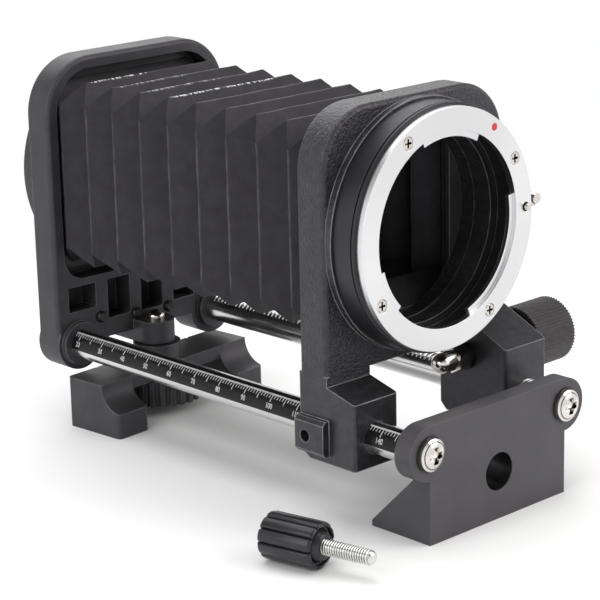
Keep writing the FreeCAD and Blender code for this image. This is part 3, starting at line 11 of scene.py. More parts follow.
import bmesh
import bpy
from mathutils import Matrix, Vector, noise
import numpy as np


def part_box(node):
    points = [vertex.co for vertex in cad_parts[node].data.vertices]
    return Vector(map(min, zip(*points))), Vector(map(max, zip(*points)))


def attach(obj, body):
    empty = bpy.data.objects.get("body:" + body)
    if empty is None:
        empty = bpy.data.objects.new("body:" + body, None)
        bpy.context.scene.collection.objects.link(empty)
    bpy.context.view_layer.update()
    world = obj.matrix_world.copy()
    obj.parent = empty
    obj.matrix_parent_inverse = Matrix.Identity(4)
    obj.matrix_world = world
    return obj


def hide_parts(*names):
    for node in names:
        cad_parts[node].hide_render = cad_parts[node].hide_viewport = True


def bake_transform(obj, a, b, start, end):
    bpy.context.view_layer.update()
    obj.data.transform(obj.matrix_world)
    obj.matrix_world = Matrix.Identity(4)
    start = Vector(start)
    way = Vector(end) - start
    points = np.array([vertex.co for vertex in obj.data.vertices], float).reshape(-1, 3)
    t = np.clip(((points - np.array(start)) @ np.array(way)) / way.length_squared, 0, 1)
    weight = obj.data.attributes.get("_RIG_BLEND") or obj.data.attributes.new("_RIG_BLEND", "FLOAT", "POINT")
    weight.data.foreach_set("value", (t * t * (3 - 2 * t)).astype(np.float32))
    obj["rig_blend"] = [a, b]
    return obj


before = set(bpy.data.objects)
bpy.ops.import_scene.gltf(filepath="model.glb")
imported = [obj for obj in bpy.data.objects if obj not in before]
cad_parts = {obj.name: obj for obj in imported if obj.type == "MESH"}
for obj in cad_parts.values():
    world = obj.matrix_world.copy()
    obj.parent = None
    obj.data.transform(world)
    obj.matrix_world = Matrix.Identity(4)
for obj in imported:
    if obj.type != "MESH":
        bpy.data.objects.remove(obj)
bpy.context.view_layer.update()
MM = 0.001

# %% [markdown]
# The rails lie along Y, the lens looks along -Y, and Z is up. The places that several pieces share are
# read from the boxes of the solids, so that a change of the model moves everything that sits on it.

# %% Shared places
rail_low, rail_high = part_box("scaled_rail")
RAIL_RADIUS = (rail_high[2] - rail_low[2]) / 2
RAIL_X = (rail_low[0] + rail_high[0]) / 2
RAIL_Z = (rail_low[2] + rail_high[2]) / 2
ring_low, ring_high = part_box("lens_mount_ring")
AXIS_Z = (ring_low[2] + ring_high[2]) / 2
bellows_low, bellows_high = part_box("bellows")
bracket_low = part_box("front_bracket")[0]
print("rail radius", round(RAIL_RADIUS / MM, 2), "mm, optical axis at", round(AXIS_Z / MM, 1), "mm")

# %% [markdown]
# ## Small helpers
# A piece is always built at its real place, in metres, so its object stays at the origin. `add_piece`
# turns a finished bmesh into such an object and lets it ride on its body.

# %% Helpers for pieces
Y_AXIS = Vector((0, 1, 0))
Z_AXIS = Vector((0, 0, 1))


def add_piece(name, bm, body, finish, replaced=(), smooth=35):
    """Make an object of the bmesh, with its finish, and let it ride on a body of the frame."""
    mesh = bpy.data.meshes.new(name)
    bm.to_mesh(mesh)
    bm.free()
    piece = bpy.data.objects.new(name, mesh)
    bpy.context.scene.collection.objects.link(piece)
    mesh.materials.append(finish)
    for face in mesh.polygons:
        face.use_smooth = True
    mesh.set_sharp_from_angle(angle=math.radians(smooth))
    if body:
        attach(piece, body)
    if replaced:
        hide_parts(*replaced)
    print(name, "has", len(mesh.polygons), "faces")
    return piece


def spun(points, axis, centre, steps=96):
    """Turn a profile of (radius, place along the axis) pairs into a solid of revolution."""
    bm = bmesh.new()
    side = Vector((0, 0, 1)) if axis.z == 0 else Vector((1, 0, 0))
    verts = [bm.verts.new(Vector(centre) + side * radius + axis * along) for radius, along in points]
    edges = [bm.edges.new(pair) for pair in zip(verts, verts[1:])]
    bmesh.ops.spin(bm, geom=verts + edges, cent=Vector(centre), axis=axis, angle=2 * math.pi,
                   steps=steps, use_merge=True, use_duplicate=False)
    bmesh.ops.remove_doubles(bm, verts=bm.verts, dist=1e-7)
    bmesh.ops.recalc_face_normals(bm, faces=bm.faces)
    return bm


def joined(parts):
    """Put several bmeshes into one."""
    whole = bmesh.new()
    for part in parts:
        mesh = bpy.data.meshes.new("part")
        part.to_mesh(mesh)
        part.free()
        whole.from_mesh(mesh)
        bpy.data.meshes.remove(mesh)
    return whole


# %% [markdown]
# ## Finishes
# Every finish is a small network of nodes on Object coordinates. `shade` starts one with its plain
# values on the shader's own sockets, `mottle` lets the colour wander between two tones, and `grain`
# adds a fine relief. `soft_edges` rounds the shading at every edge, which is what catches the thin
# light lines along the corners of painted and moulded metal. A lighter colour is also painted along
# the same edges, part painted highlight and part wear.


# %% Helpers for finishes
def shade(name, colour, roughness, metallic=0.0, coat=0.0, specular=0.5):
    """A new material with its plain values set on the shader."""
    material = bpy.data.materials.new(name)
    material.use_nodes = True
    shader = material.node_tree.nodes["Principled BSDF"]
    shader.inputs["Base Color"].default_value = (*colour, 1)
    shader.inputs["Roughness"].default_value = roughness
    shader.inputs["Metallic"].default_value = metallic
    shader.inputs["Coat Weight"].default_value = coat
    shader.inputs["Coat Roughness"].default_value = 0.12
    shader.inputs["Specular IOR Level"].default_value = specular
    if not metallic:
        shader.inputs["Specular Tint"].default_value = (0.95, 0.91, 1.0, 1)
    return material


def node(material, kind, **values):
    """Add a node and set its inputs by name."""
    item = material.node_tree.nodes.new(kind)
    for name, value in values.items():
        item.inputs[name].default_value = value
    return item


def link(material, source, target):
    material.node_tree.links.new(source, target)


def surface(material):
    return material.node_tree.nodes["Principled BSDF"]


def place_of(material, scale=(1, 1, 1)):
    """Object coordinates, stretched by a Mapping node."""
    where = material.node_tree.nodes.new("ShaderNodeTexCoord")
    mapping = material.node_tree.nodes.new("ShaderNodeMapping")
    mapping.inputs["Scale"].default_value = scale
    link(material, where.outputs["Object"], mapping.inputs["Vector"])
    return mapping.outputs["Vector"]


def maths(material, operation, first, second):
    """A Math node whose inputs may be sockets or numbers."""
    item = material.node_tree.nodes.new("ShaderNodeMath")
    item.operation = operation
    for slot_number, value in enumerate((first, second)):
        if isinstance(value, (int, float)):
            item.inputs[slot_number].default_value = value
        else:
            link(material, value, item.inputs[slot_number])
    return item.outputs[0]


def mixed(material, share, first, second):
    """A colour between two others."""
    item = material.node_tree.nodes.new("ShaderNodeMix")
    item.data_type = "RGBA"
    link(material, share, item.inputs["Factor"])
    for place, value in ((6, first), (7, second)):
        if isinstance(value, tuple):
            item.inputs[place].default_value = (*value, 1)
        else:
            link(material, value, item.inputs[place])
    return item.outputs[2]


def mottle(material, first, second, size, where=None, contrast=(0.35, 0.65)):
    """Let the base colour wander between two tones over patches of a given size."""
    texture = node(material, "ShaderNodeTexNoise", Scale=1 / size, Detail=6.0, Roughness=0.6)
    link(material, where or place_of(material), texture.inputs["Vector"])
    ramp = material.node_tree.nodes.new("ShaderNodeValToRGB")
    ramp.color_ramp.elements[0].position = contrast[0]
    ramp.color_ramp.elements[0].color = (*first, 1)
    ramp.color_ramp.elements[1].position = contrast[1]
    ramp.color_ramp.elements[1].color = (*second, 1)
    link(material, texture.outputs["Fac"], ramp.inputs["Fac"])
    link(material, ramp.outputs["Color"], surface(material).inputs["Base Color"])
    return ramp.outputs["Color"]


def soft_edges(material, radius):
    """Round the shading at the edges, as a Bevel node does, and give its normal."""
    bevel = node(material, "ShaderNodeBevel", Radius=radius)
    bevel.samples = 6
    link(material, bevel.outputs["Normal"], surface(material).inputs["Normal"])
    return bevel.outputs["Normal"]


def over_base(material, share, colour):
    """Lay a colour over the present base colour, by a share that varies over the surface."""
    base = surface(material).inputs["Base Color"]
    under = base.links[0].from_socket if base.is_linked else tuple(base.default_value)[:3]
    link(material, mixed(material, share, under, colour), base)


def light_edges(material, rounded, colour, patch, reach=(0.995, 0.93)):
    """Paint a lighter colour along the edges, where the rounded normal leaves the flat one, in patches of a
    given size: part painted highlight, part wear.
    """
    geometry = material.node_tree.nodes.new("ShaderNodeNewGeometry")
    likeness = node(material, "ShaderNodeVectorMath")
    likeness.operation = "DOT_PRODUCT"
    link(material, rounded, likeness.inputs[0])
    link(material, geometry.outputs["Normal"], likeness.inputs[1])
    edge = node(material, "ShaderNodeMapRange", **{"From Min": reach[0], "From Max": reach[1]})
    link(material, likeness.outputs["Value"], edge.inputs["Value"])
    texture = node(material, "ShaderNodeTexNoise", Scale=1 / patch, Detail=3.0)
    link(material, place_of(material), texture.inputs["Vector"])
    edge_patches = node(material, "ShaderNodeMapRange", **{"From Min": 0.35, "From Max": 0.6, "To Min": 0.45})
    link(material, texture.outputs["Fac"], edge_patches.inputs["Value"])
    over_base(material, maths(material, "MULTIPLY", edge.outputs["Result"], edge_patches.outputs["Result"]), colour)


def dark_recesses(material, reach, colour, span=(0.75, 0.35)):
    """Paint shade into narrow hollows, such as the cross of a screw or the roots of a thread: darker where
    they see less of the sky.
    """
    hollow = node(material, "ShaderNodeAmbientOcclusion", Distance=reach)
    hollow.samples = 8
    hollow.only_local = True
    share = node(material, "ShaderNodeMapRange", **{"From Min": span[0], "From Max": span[1]})
    link(material, hollow.outputs["AO"], share.inputs["Value"])
    over_base(material, share.outputs["Result"], colour)


def grain(material, size, depth, strength=1.0, detail=4.0, where=None, under=None):
    """Add a relief with grains of a given size and depth, over any relief that is there already."""
    texture = node(material, "ShaderNodeTexNoise", Scale=1 / size, Detail=detail, Roughness=0.55)
    link(material, where or place_of(material), texture.inputs["Vector"])
    bump = node(material, "ShaderNodeBump", Distance=depth)
    if isinstance(strength, float):
        bump.inputs["Strength"].default_value = strength
    else:
        link(material, strength, bump.inputs["Strength"])
    link(material, texture.outputs["Fac"], bump.inputs["Height"])
    if under:
        link(material, under, bump.inputs["Normal"])
    link(material, bump.outputs["Normal"], surface(material).inputs["Normal"])
    return bump.outputs["Normal"]


def worn_roughness(material, low, high, size):
    """Let the roughness wander, as handled and wiped surfaces do."""
    texture = node(material, "ShaderNodeTexNoise", Scale=1 / size, Detail=5.0, Roughness=0.65)
    link(material, place_of(material), texture.inputs["Vector"])
    span = node(material, "ShaderNodeMapRange", **{"To Min": low, "To Max": high})
    link(material, texture.outputs["Fac"], span.inputs["Value"])
    link(material, span.outputs["Result"], surface(material).inputs["Roughness"])
    return span.outputs["Result"]


# %% [markdown]
# The front standard wears wrinkle paint: a thick black coat that dries into small smooth wrinkles about
# a millimetre across. Two layers of relief make it, a fine noise all over and broad wrinkles over that.
# The blocks at its foot and the pinion housing are smooth, so the wrinkles fade out there by place.

# %% Finish of the front standard
BLOCK_TOP = 36 * MM
HOUSING_TOP = 52 * MM
HOUSING_SIDE = 12 * MM
HOUSING_BACK = 17.5 * MM
crackle = shade("wrinkle paint", (0.02, 0.0195, 0.021), 0.36, specular=0.5)
mottle(crackle, (0.014, 0.0135, 0.015), (0.03, 0.029, 0.031), 2.0 * MM)
standard_place = node(crackle, "ShaderNodeSeparateXYZ")
link(crackle, place_of(crackle), standard_place.inputs["Vector"])
on_block = maths(crackle, "LESS_THAN", standard_place.outputs["Z"], BLOCK_TOP)
beside = maths(crackle, "MULTIPLY", maths(crackle, "GREATER_THAN", standard_place.outputs["X"], HOUSING_SIDE),
               maths(crackle, "LESS_THAN", standard_place.outputs["Y"], HOUSING_BACK))
on_housing = maths(crackle, "MULTIPLY", beside,
                   maths(crackle, "LESS_THAN", standard_place.outputs["Z"], HOUSING_TOP))
wrinkled = maths(crackle, "SUBTRACT", 1.0, maths(crackle, "MAXIMUM", on_block, on_housing))
crackle_edges = soft_edges(crackle, 0.4 * MM)
crackle_relief = grain(crackle, 0.35 * MM, 0.05 * MM, strength=0.5, under=crackle_edges)
grain(crackle, 0.75 * MM, 0.4 * MM, strength=maths(crackle, "ADD", maths(crackle, "MULTIPLY", wrinkled, 0.75),
      0.05), detail=2.0, under=crackle_relief)
worn_roughness(crackle, 0.26, 0.44, 1.2 * MM)
# Painted highlight along the edges, with some wear.
light_edges(crackle, crackle_edges, (0.34, 0.33, 0.34), 5 * MM)
print("finish:", crackle.name)

# %% [markdown]
# The rear standard, the foot and the clamp disc are mouldings with an even satin skin. It is finer than
# paint, so one shallow relief is enough, with broad, faint changes of gloss.

# %% Finish of the mouldings
moulded = shade("satin moulding", (0.03, 0.029, 0.031), 0.5, specular=0.45)
mottle(moulded, (0.027, 0.026, 0.028), (0.038, 0.037, 0.039), 6 * MM)
moulded_edges = soft_edges(moulded, 0.4 * MM)
grain(moulded, 0.35 * MM, 0.03 * MM, strength=0.5, under=moulded_edges)
worn_roughness(moulded, 0.38, 0.54, 9 * MM)
# Painted highlight along the edges, with some wear.
light_edges(moulded, moulded_edges, (0.17, 0.165, 0.17), 6 * MM)
print("finish:", moulded.name)

# %% [markdown]
# The bracket at the front is anodised metal, smoother and a little lighter. Its round hole ends in the
# dark, and that shade is painted: a mask round the hole's axis paints the bore near black. The mask is
# the distance from that axis in Object coordinates, kept to places behind the front face.

# %% Finish of the bracket
HOLE_RADIUS = 5.05 * MM
HOLE_HEIGHT = 12.7 * MM
anodised = shade("black anodised metal", (0.05, 0.048, 0.052), 0.42, specular=0.5)
anodised_tone = mottle(anodised, (0.046, 0.044, 0.048), (0.056, 0.054, 0.057), 12 * MM)
bracket_place = node(anodised, "ShaderNodeSeparateXYZ")
link(anodised, place_of(anodised), bracket_place.inputs["Vector"])
hole_rise = maths(anodised, "SUBTRACT", bracket_place.outputs["Z"], HOLE_HEIGHT)
hole_square = maths(anodised, "ADD", maths(anodised, "MULTIPLY", hole_rise, hole_rise),
                    maths(anodised, "MULTIPLY", bracket_place.outputs["X"], bracket_place.outputs["X"]))
in_hole = maths(anodised, "LESS_THAN", hole_square, (HOLE_RADIUS + 0.02 * MM) ** 2)
behind_face = maths(anodised, "GREATER_THAN", bracket_place.outputs["Y"], bracket_low[1] + 0.35 * MM)
bore_shade_share = maths(anodised, "MULTIPLY", in_hole, behind_face)
# Painted shade: the bore is coloured near black.
link(anodised, mixed(anodised, bore_shade_share, anodised_tone, (0.002, 0.002, 0.002)),
     surface(anodised).inputs["Base Color"])
anodised_edges = soft_edges(anodised, 0.25 * MM)
grain(anodised, 0.2 * MM, 0.012 * MM, strength=0.5, under=anodised_edges)
worn_roughness(anodised, 0.34, 0.48, 7 * MM)
# Painted highlight along the edges, with some wear.
light_edges(anodised, anodised_edges, (0.12, 0.115, 0.12), 8 * MM)
print("finish:", anodised.name)

# %% [markdown]
# The smaller dark pieces differ in gloss more than in colour: a painted gloss, a satin tube, steel that
# was blackened by heat and oil, and the fine ribs of the knob. Each is one shader with its own roughness.

# %% Gloss black, black steel and knurled black
gloss = shade("gloss black", (0.012, 0.012, 0.013), 0.3, specular=0.5)
worn_roughness(gloss, 0.24, 0.38, 5 * MM)
grain(gloss, 1.2 * MM, 0.01 * MM, strength=0.4, under=soft_edges(gloss, 0.2 * MM))
tube_black = shade("satin tube black", (0.01, 0.01, 0.011), 0.42, specular=0.5)
worn_roughness(tube_black, 0.36, 0.5, 4 * MM)
grain(tube_black, 0.3 * MM, 0.01 * MM, strength=0.4, under=soft_edges(tube_black, 0.15 * MM))
black_steel = shade("blackened steel", (0.03, 0.03, 0.032), 0.35, metallic=0.6)
worn_roughness(black_steel, 0.28, 0.5, 2 * MM)
knurled = shade("knurled black", (0.035, 0.033, 0.034), 0.42)
mottle(knurled, (0.026, 0.025, 0.026), (0.05, 0.047, 0.048), 2 * MM)
grain(knurled, 0.15 * MM, 0.02 * MM, strength=0.5, under=soft_edges(knurled, 0.12 * MM))

# %% [markdown]
# Bright metal shows what stands round it, so it needs little more than a roughness that wanders. The
# ring is satin, the screws and nuts are polished, and the paints of the index dot and the scale are mat.

# %% Bright metals and paints
satin_ring = shade("satin ring", (0.78, 0.78, 0.79), 0.32, metallic=1.0)
worn_roughness(satin_ring, 0.26, 0.38, 3 * MM)
grain(satin_ring, 0.5 * MM, 0.004 * MM, strength=0.3, under=soft_edges(satin_ring, 0.2 * MM))
surface(satin_ring).inputs["Anisotropic"].default_value = 0.65
from_ring_axis = node(satin_ring, "ShaderNodeVectorMath")
from_ring_axis.operation = "SUBTRACT"
link(satin_ring, place_of(satin_ring), from_ring_axis.inputs[0])
from_ring_axis.inputs[1].default_value = (0, 0, AXIS_Z)
turned = node(satin_ring, "ShaderNodeVectorMath")
turned.operation = "CROSS_PRODUCT"
link(satin_ring, from_ring_axis.outputs[0], turned.inputs[0])
turned.inputs[1].default_value = (0, 1, 0)
link(satin_ring, turned.outputs[0], surface(satin_ring).inputs["Tangent"])
nickel = shade("bright nickel", (0.72, 0.69, 0.65), 0.16, metallic=1.0)
worn_roughness(nickel, 0.1, 0.24, 2 * MM)
# Painted shade in the crosses of the screws.
dark_recesses(nickel, 0.9 * MM, (0.03, 0.027, 0.024), (0.85, 0.55))
screw_low, screw_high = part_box("bracket_screws")
HEAD_RIM = (screw_high[2] - screw_low[2]) / 2
GROOVE_PLACE, GROOVE_HALF = 0.83, 0.035
screw_nickel = shade("screw head nickel", (0.72, 0.69, 0.65), 0.16, metallic=1.0)
worn_roughness(screw_nickel, 0.1, 0.22, 2 * MM)
head_place = node(screw_nickel, "ShaderNodeSeparateXYZ")
link(screw_nickel, place_of(screw_nickel), head_place.inputs["Vector"])
head_side = maths(screw_nickel, "SUBTRACT", maths(screw_nickel, "ABSOLUTE", head_place.outputs["X"], 0.0),
                  -RAIL_X)
head_rise = maths(screw_nickel, "SUBTRACT", head_place.outputs["Z"], RAIL_Z)
head_radius = maths(screw_nickel, "SQRT", maths(
    screw_nickel, "ADD", maths(screw_nickel, "MULTIPLY", head_side, head_side),
    maths(screw_nickel, "MULTIPLY", head_rise, head_rise)), 0.0)
groove_share = maths(screw_nickel, "COMPARE", head_radius, GROOVE_PLACE * HEAD_RIM)
groove_share.node.inputs[2].default_value = GROOVE_HALF * HEAD_RIM
over_base(screw_nickel, groove_share, (0.12, 0.11, 0.1))
# Painted shade in the crosses of the screws.
dark_recesses(screw_nickel, 0.9 * MM, (0.03, 0.027, 0.024), (0.85, 0.55))
zinc = shade("zinc thread", (0.7, 0.7, 0.68), 0.26, metallic=1.0)
worn_roughness(zinc, 0.18, 0.34, 1.5 * MM)
# Painted shade in the roots of the thread.
dark_recesses(zinc, 0.4 * MM, (0.1, 0.1, 0.095), (0.85, 0.5))
rack_steel = shade("rack steel", (0.68, 0.68, 0.68), 0.2, metallic=1.0)
worn_roughness(rack_steel, 0.12, 0.3, 4 * MM)
red_dot = shade("red index paint", (0.6, 0.03, 0.03), 0.3)
grain(red_dot, 0.4 * MM, 0.02 * MM, strength=0.3)
white_paint = shade("white scale paint", (0.5, 0.5, 0.49), 0.5)
mottle(white_paint, (0.32, 0.32, 0.32), (0.62, 0.62, 0.61), 0.8 * MM)
# Light metal for the rims in the bore: it paints the highlights on the step edges.
bore_rim_highlight = shade("painted bore rim highlight", (0.3, 0.3, 0.31), 0.4, metallic=0.8)
mottle(bore_rim_highlight, (0.12, 0.12, 0.12), (0.4, 0.4, 0.41), 3 * MM)

# %% [markdown]
# The near rail is a bright steel rod with a glossy black band along its upper outer side, which carries
# the scale. The band covers the directions within a fixed angle of its middle. The direction is a dot
# product of the place round the rail's axis, and a narrow ramp turns it into a share of black.

# %% Finish of the scaled rail
BAND_MIDDLE = math.radians(40)
BAND_HALF = math.radians(50)
rail_finish = shade("scaled rail", (0.6, 0.6, 0.6), 0.2, metallic=1.0, specular=0.2)
from_axis = node(rail_finish, "ShaderNodeVectorMath")
from_axis.operation = "SUBTRACT"
link(rail_finish, place_of(rail_finish), from_axis.inputs[0])
from_axis.inputs[1].default_value = (RAIL_X, 0, RAIL_Z)
towards = node(rail_finish, "ShaderNodeVectorMath")
towards.operation = "DOT_PRODUCT"
link(rail_finish, from_axis.outputs[0], towards.inputs[0])
towards.inputs[1].default_value = (-math.cos(BAND_MIDDLE), 0, math.sin(BAND_MIDDLE))
band_edge = RAIL_RADIUS * math.cos(BAND_HALF)
band = node(rail_finish, "ShaderNodeMapRange", **{"From Min": band_edge - 0.06 * MM,
                                                  "From Max": band_edge + 0.06 * MM})
link(rail_finish, towards.outputs["Value"], band.inputs["Value"])
link(rail_finish, mixed(rail_finish, band.outputs["Result"], (0.72, 0.72, 0.72), (0.009, 0.009, 0.01)),
     surface(rail_finish).inputs["Base Color"])
link(rail_finish, maths(rail_finish, "SUBTRACT", 1.0, band.outputs["Result"]),
     surface(rail_finish).inputs["Metallic"])
worn_roughness(rail_finish, 0.16, 0.3, 4 * MM)

# %% [markdown]
# ## The bellows
# The real bellows is thin leatherette over card, folded like an accordion. At every fold the box is
# either tall and narrow or low and wide, so the top falls where the sides come out. It could be lofted
# in one go, but folds look alive when their ridges are slightly rounded and the cloth sags a little
# between them. So a rectangle of edges is extruded from station to station, scaled each time, and then
# every point is moved by a smooth noise.

# %% Stations along the bellows
FOLDS = 9
FOLD_LENGTH = 11.6 * MM
FIRST_FOLD = 29.475 * MM
NARROW = Vector((22.1 * MM, 26.15 * MM))
WIDE = Vector((27.7 * MM, 19.95 * MM))
BELLOWS_MIDDLE = (bellows_low[2] + bellows_high[2]) / 2
RIDGE_SHARES = (0.015, 0.045, 0.16, 0.38, 0.62, 0.84, 0.955, 0.985)


def fold_size(share):
    """The half width and half height of the box at a share of the way from narrow to wide."""
    rounded = 0.5 - 0.5 * math.cos(math.pi * share)
    soft = share * 0.9 + rounded * 0.1
    return NARROW.lerp(WIDE, soft)


stations = [(bellows_low[1], fold_size(0)), (FIRST_FOLD, fold_size(0))]
for fold in range(FOLDS):
    start = FIRST_FOLD + fold * FOLD_LENGTH
    rising = [(start + share * FOLD_LENGTH / 2, fold_size(share)) for share in RIDGE_SHARES]
    last = fold == FOLDS - 1
    back_length = bellows_high[1] - start - FOLD_LENGTH / 2 if last else FOLD_LENGTH / 2
    ridge = start + FOLD_LENGTH / 2
    falling = [(ridge + share * back_length, fold_size(1 - share)) for share in RIDGE_SHARES]
    stations += rising + falling
stations.append((bellows_high[1], fold_size(0)))
print("stations along the bellows:", len(stations))

# %% Extrude the cloth from station to station
SIDE_CUTS = 17
cloth_mesh = bmesh.new()
first_y, first_size = stations[0]
corners = [cloth_mesh.verts.new((sx * first_size.x, first_y, BELLOWS_MIDDLE + sz * first_size.y))
           for sx, sz in ((-1, -1), (1, -1), (1, 1), (-1, 1))]
ring_edges = [cloth_mesh.edges.new((corners[i], corners[(i + 1) % 4])) for i in range(4)]
bmesh.ops.subdivide_edges(cloth_mesh, edges=ring_edges, cuts=SIDE_CUTS)
loop = list(cloth_mesh.edges)
previous_y, previous = first_y, first_size
to_middle = Matrix.Translation((0, 0, -BELLOWS_MIDDLE))
for place, size in stations[1:]:
    grown = bmesh.ops.extrude_edge_only(cloth_mesh, edges=loop)["geom"]
    loop = [item for item in grown if isinstance(item, bmesh.types.BMEdge)]
    new_verts = [item for item in grown if isinstance(item, bmesh.types.BMVert)]
    bmesh.ops.scale(cloth_mesh, vec=(size.x / previous.x, 1, size.y / previous.y), space=to_middle,
                    verts=new_verts)
    bmesh.ops.translate(cloth_mesh, vec=(0, place - previous_y, 0), verts=new_verts)
    previous_y, previous = place, size

# %% [markdown]
# Three things make the cloth soft: the panels sink a little between the folds, the folds wander by a
# tenth of a millimetre or two, and small dents lie here and there. The ends stay where their frames
# grip them. Two numbers are kept at every point. One says how near it is to a ridge, for the lighter
# line painted there, part wear and part highlight. The other carries the dashed glints painted on the
# top ridges that catch the light.

# %% Soften the folds
ridge_wear_and_highlight = cloth_mesh.verts.layers.float.new("ridge_wear_and_highlight")
painted_seam_glint = cloth_mesh.verts.layers.float.new("painted_seam_glint")
# For each fold whose top ridge gets a painted glint: how bright the glint is, and how far across it goes.
PAINTED_GLINTS = {8: (0.9, -0.1), 7: (0.35, 0.2), 6: (0.5, 0.3), 5: (1.0, 0.72)}
RIDGE_REACH, RIDGE_FADE = 0.045, 0.03
GRIP, SAG, WANDER, DENT = 3 * MM, 0.16 * MM, 0.16 * MM, 0.03 * MM
WANDER_SIZE, DENT_SIZE = 7 * MM, 2.2 * MM
CLOTH_THICKNESS = 0.4 * MM
for vert in cloth_mesh.verts:
    y = vert.co.y
    phase = (y - FIRST_FOLD) / (FOLD_LENGTH / 2)
    nearest = round(phase)
    off_fold = abs(phase - nearest)
    size = fold_size(max(0, 1 - abs(((phase % 2) - 1))) if phase > 0 else 0)
    across = vert.co.x / size.x
    upright = (vert.co.z - BELLOWS_MIDDLE) / size.y
    on_side = abs(across) > 0.98
    outer = nearest % 2 == 1 if on_side else nearest % 2 == 0
    at_ridge = min(1.0, max(0.0, (RIDGE_REACH - off_fold) / RIDGE_FADE))
    # A lighter line painted along the ridges, part wear and part highlight.
    vert[ridge_wear_and_highlight] = at_ridge * (1.0 if outer else 0.2)
    brightness, reach = PAINTED_GLINTS.get(nearest // 2, (0, 0))
    on_top = not on_side and upright > 0.9 and nearest % 2 == 0
    # Painted glints on the top ridges that catch the light.
    vert[painted_seam_glint] = at_ridge * brightness if on_top and across < reach else 0.0
    free = max(0, min(1.0, (y - bellows_low[1]) / GRIP, (bellows_high[1] - y) / GRIP))
    panel = math.sin(math.pi * min(1.0, off_fold * 2)) * free
    wander = Vector(noise.noise_vector(Vector((vert.co.x, y * 1.4, vert.co.z)) / WANDER_SIZE))
    dents = Vector(noise.noise_vector(vert.co / DENT_SIZE))
    if on_side:
        inward = Vector((-math.copysign(1, across), 0, 0))
    else:
        inward = Vector((0, 0, -math.copysign(1, upright)))
    vert.co += (wander * WANDER + dents * DENT) * free + inward * panel * SAG
bmesh.ops.recalc_face_normals(cloth_mesh, faces=cloth_mesh.faces)
bmesh.ops.solidify(cloth_mesh, geom=cloth_mesh.faces, thickness=CLOTH_THICKNESS)
print("bellows faces:", len(cloth_mesh.faces))

# %% Finish of the bellows
cloth = shade("bellows leatherette", (0.024, 0.0228, 0.025), 0.58, specular=0.36)
cloth_tone = mottle(cloth, (0.018, 0.017, 0.019), (0.028, 0.0268, 0.029), 4 * MM)
ridge_wear_and_highlight_node = node(cloth, "ShaderNodeAttribute")
ridge_wear_and_highlight_node.attribute_name = "ridge_wear_and_highlight"
patches = node(cloth, "ShaderNodeTexNoise", Scale=1 / (5 * MM), Detail=3.0)
link(cloth, place_of(cloth), patches.inputs["Vector"])
ridge_patch_share = node(cloth, "ShaderNodeMapRange",
                  **{"From Min": 0.4, "From Max": 0.65, "To Min": 0.2, "To Max": 0.9})
link(cloth, patches.outputs["Fac"], ridge_patch_share.inputs["Value"])
ridge_wear_and_highlight_share = maths(cloth, "MULTIPLY", ridge_wear_and_highlight_node.outputs["Fac"], ridge_patch_share.outputs["Result"])
# A lighter line painted along the ridges, part wear and part highlight.
tone_with_ridge_highlight = mixed(cloth, ridge_wear_and_highlight_share, cloth_tone, (0.065, 0.062, 0.067))
painted_glint_node = node(cloth, "ShaderNodeAttribute")
painted_glint_node.attribute_name = "painted_seam_glint"
dashes = node(cloth, "ShaderNodeTexNoise", Scale=1 / (0.6 * MM), Detail=1.0)
link(cloth, place_of(cloth, (1, 0.2, 0.2)), dashes.inputs["Vector"])
# Painted highlight: light dashes along the top ridges.
painted_glint_share = maths(cloth, "MULTIPLY", painted_glint_node.outputs["Fac"],
                   maths(cloth, "GREATER_THAN", dashes.outputs["Fac"], 0.53))
link(cloth, mixed(cloth, painted_glint_share, tone_with_ridge_highlight, (0.75, 0.75, 0.75)), surface(cloth).inputs["Base Color"])
cloth_fine = grain(cloth, 0.25 * MM, 0.03 * MM, strength=0.5)
grain(cloth, 5 * MM, 0.3 * MM, strength=0.3, under=cloth_fine)

# %% [markdown]
# The bellows crosses the sliding joint. Its front end rides on the front standard and its rear end on
# the base.

# %% Let the folds share the travel
bellows_piece = add_piece("bellows_cloth", cloth_mesh, None, cloth, ["bellows"])
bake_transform(bellows_piece, "base", "front_carriage", start=(0, bellows_high[1], BELLOWS_MIDDLE),
         end=(0, bellows_low[1], BELLOWS_MIDDLE))
travel_share = bellows_piece.data.attributes["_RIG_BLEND"]
for point, vert in zip(travel_share.data, bellows_piece.data.vertices):
    share = (bellows_high[1] - vert.co.y) / (bellows_high[1] - bellows_low[1])
    point.value = min(1.0, max(0.0, share))
print("points that share the travel:", len(travel_share.data))

# %% [markdown]
# ## The scale on the near rail
# The rail carries a millimetre scale: a line, a tick for every millimetre and a number at every tenth
# one. It is printed on a curved surface, so everything is laid out flat first, ticks as small grids and
# numbers as text turned into a mesh, and then the whole sheet is wrapped round the rail.

# %% Lay the scale out flat
SCALE_ZERO = 143.4 * MM
FIRST_TICK, LAST_TICK = 17, 146
TICK_TOP, LONG_TICK, SHORT_TICK = math.radians(60), math.radians(31), math.radians(45)
LINE_WIDTH = 0.55 * MM
TICK_WIDTH = 0.24 * MM
NUMBER_MIDDLE = math.radians(15)
NUMBER_SIZE = 2.0 * MM
NUMBER_NARROWING = 0.85
PRINT_RADIUS = RAIL_RADIUS + 0.02 * MM


def flat_bar(bm, low, high, segments):
    """A thin flat bar between two corners, cut across so that it can bend."""
    bar = bmesh.ops.create_grid(bm, x_segments=1, y_segments=segments, size=0.5)["verts"]
    bmesh.ops.scale(bm, vec=(high[0] - low[0], high[1] - low[1], 1), verts=bar)
    bmesh.ops.translate(bm, vec=((low[0] + high[0]) / 2, (low[1] + high[1]) / 2, 0), verts=bar)


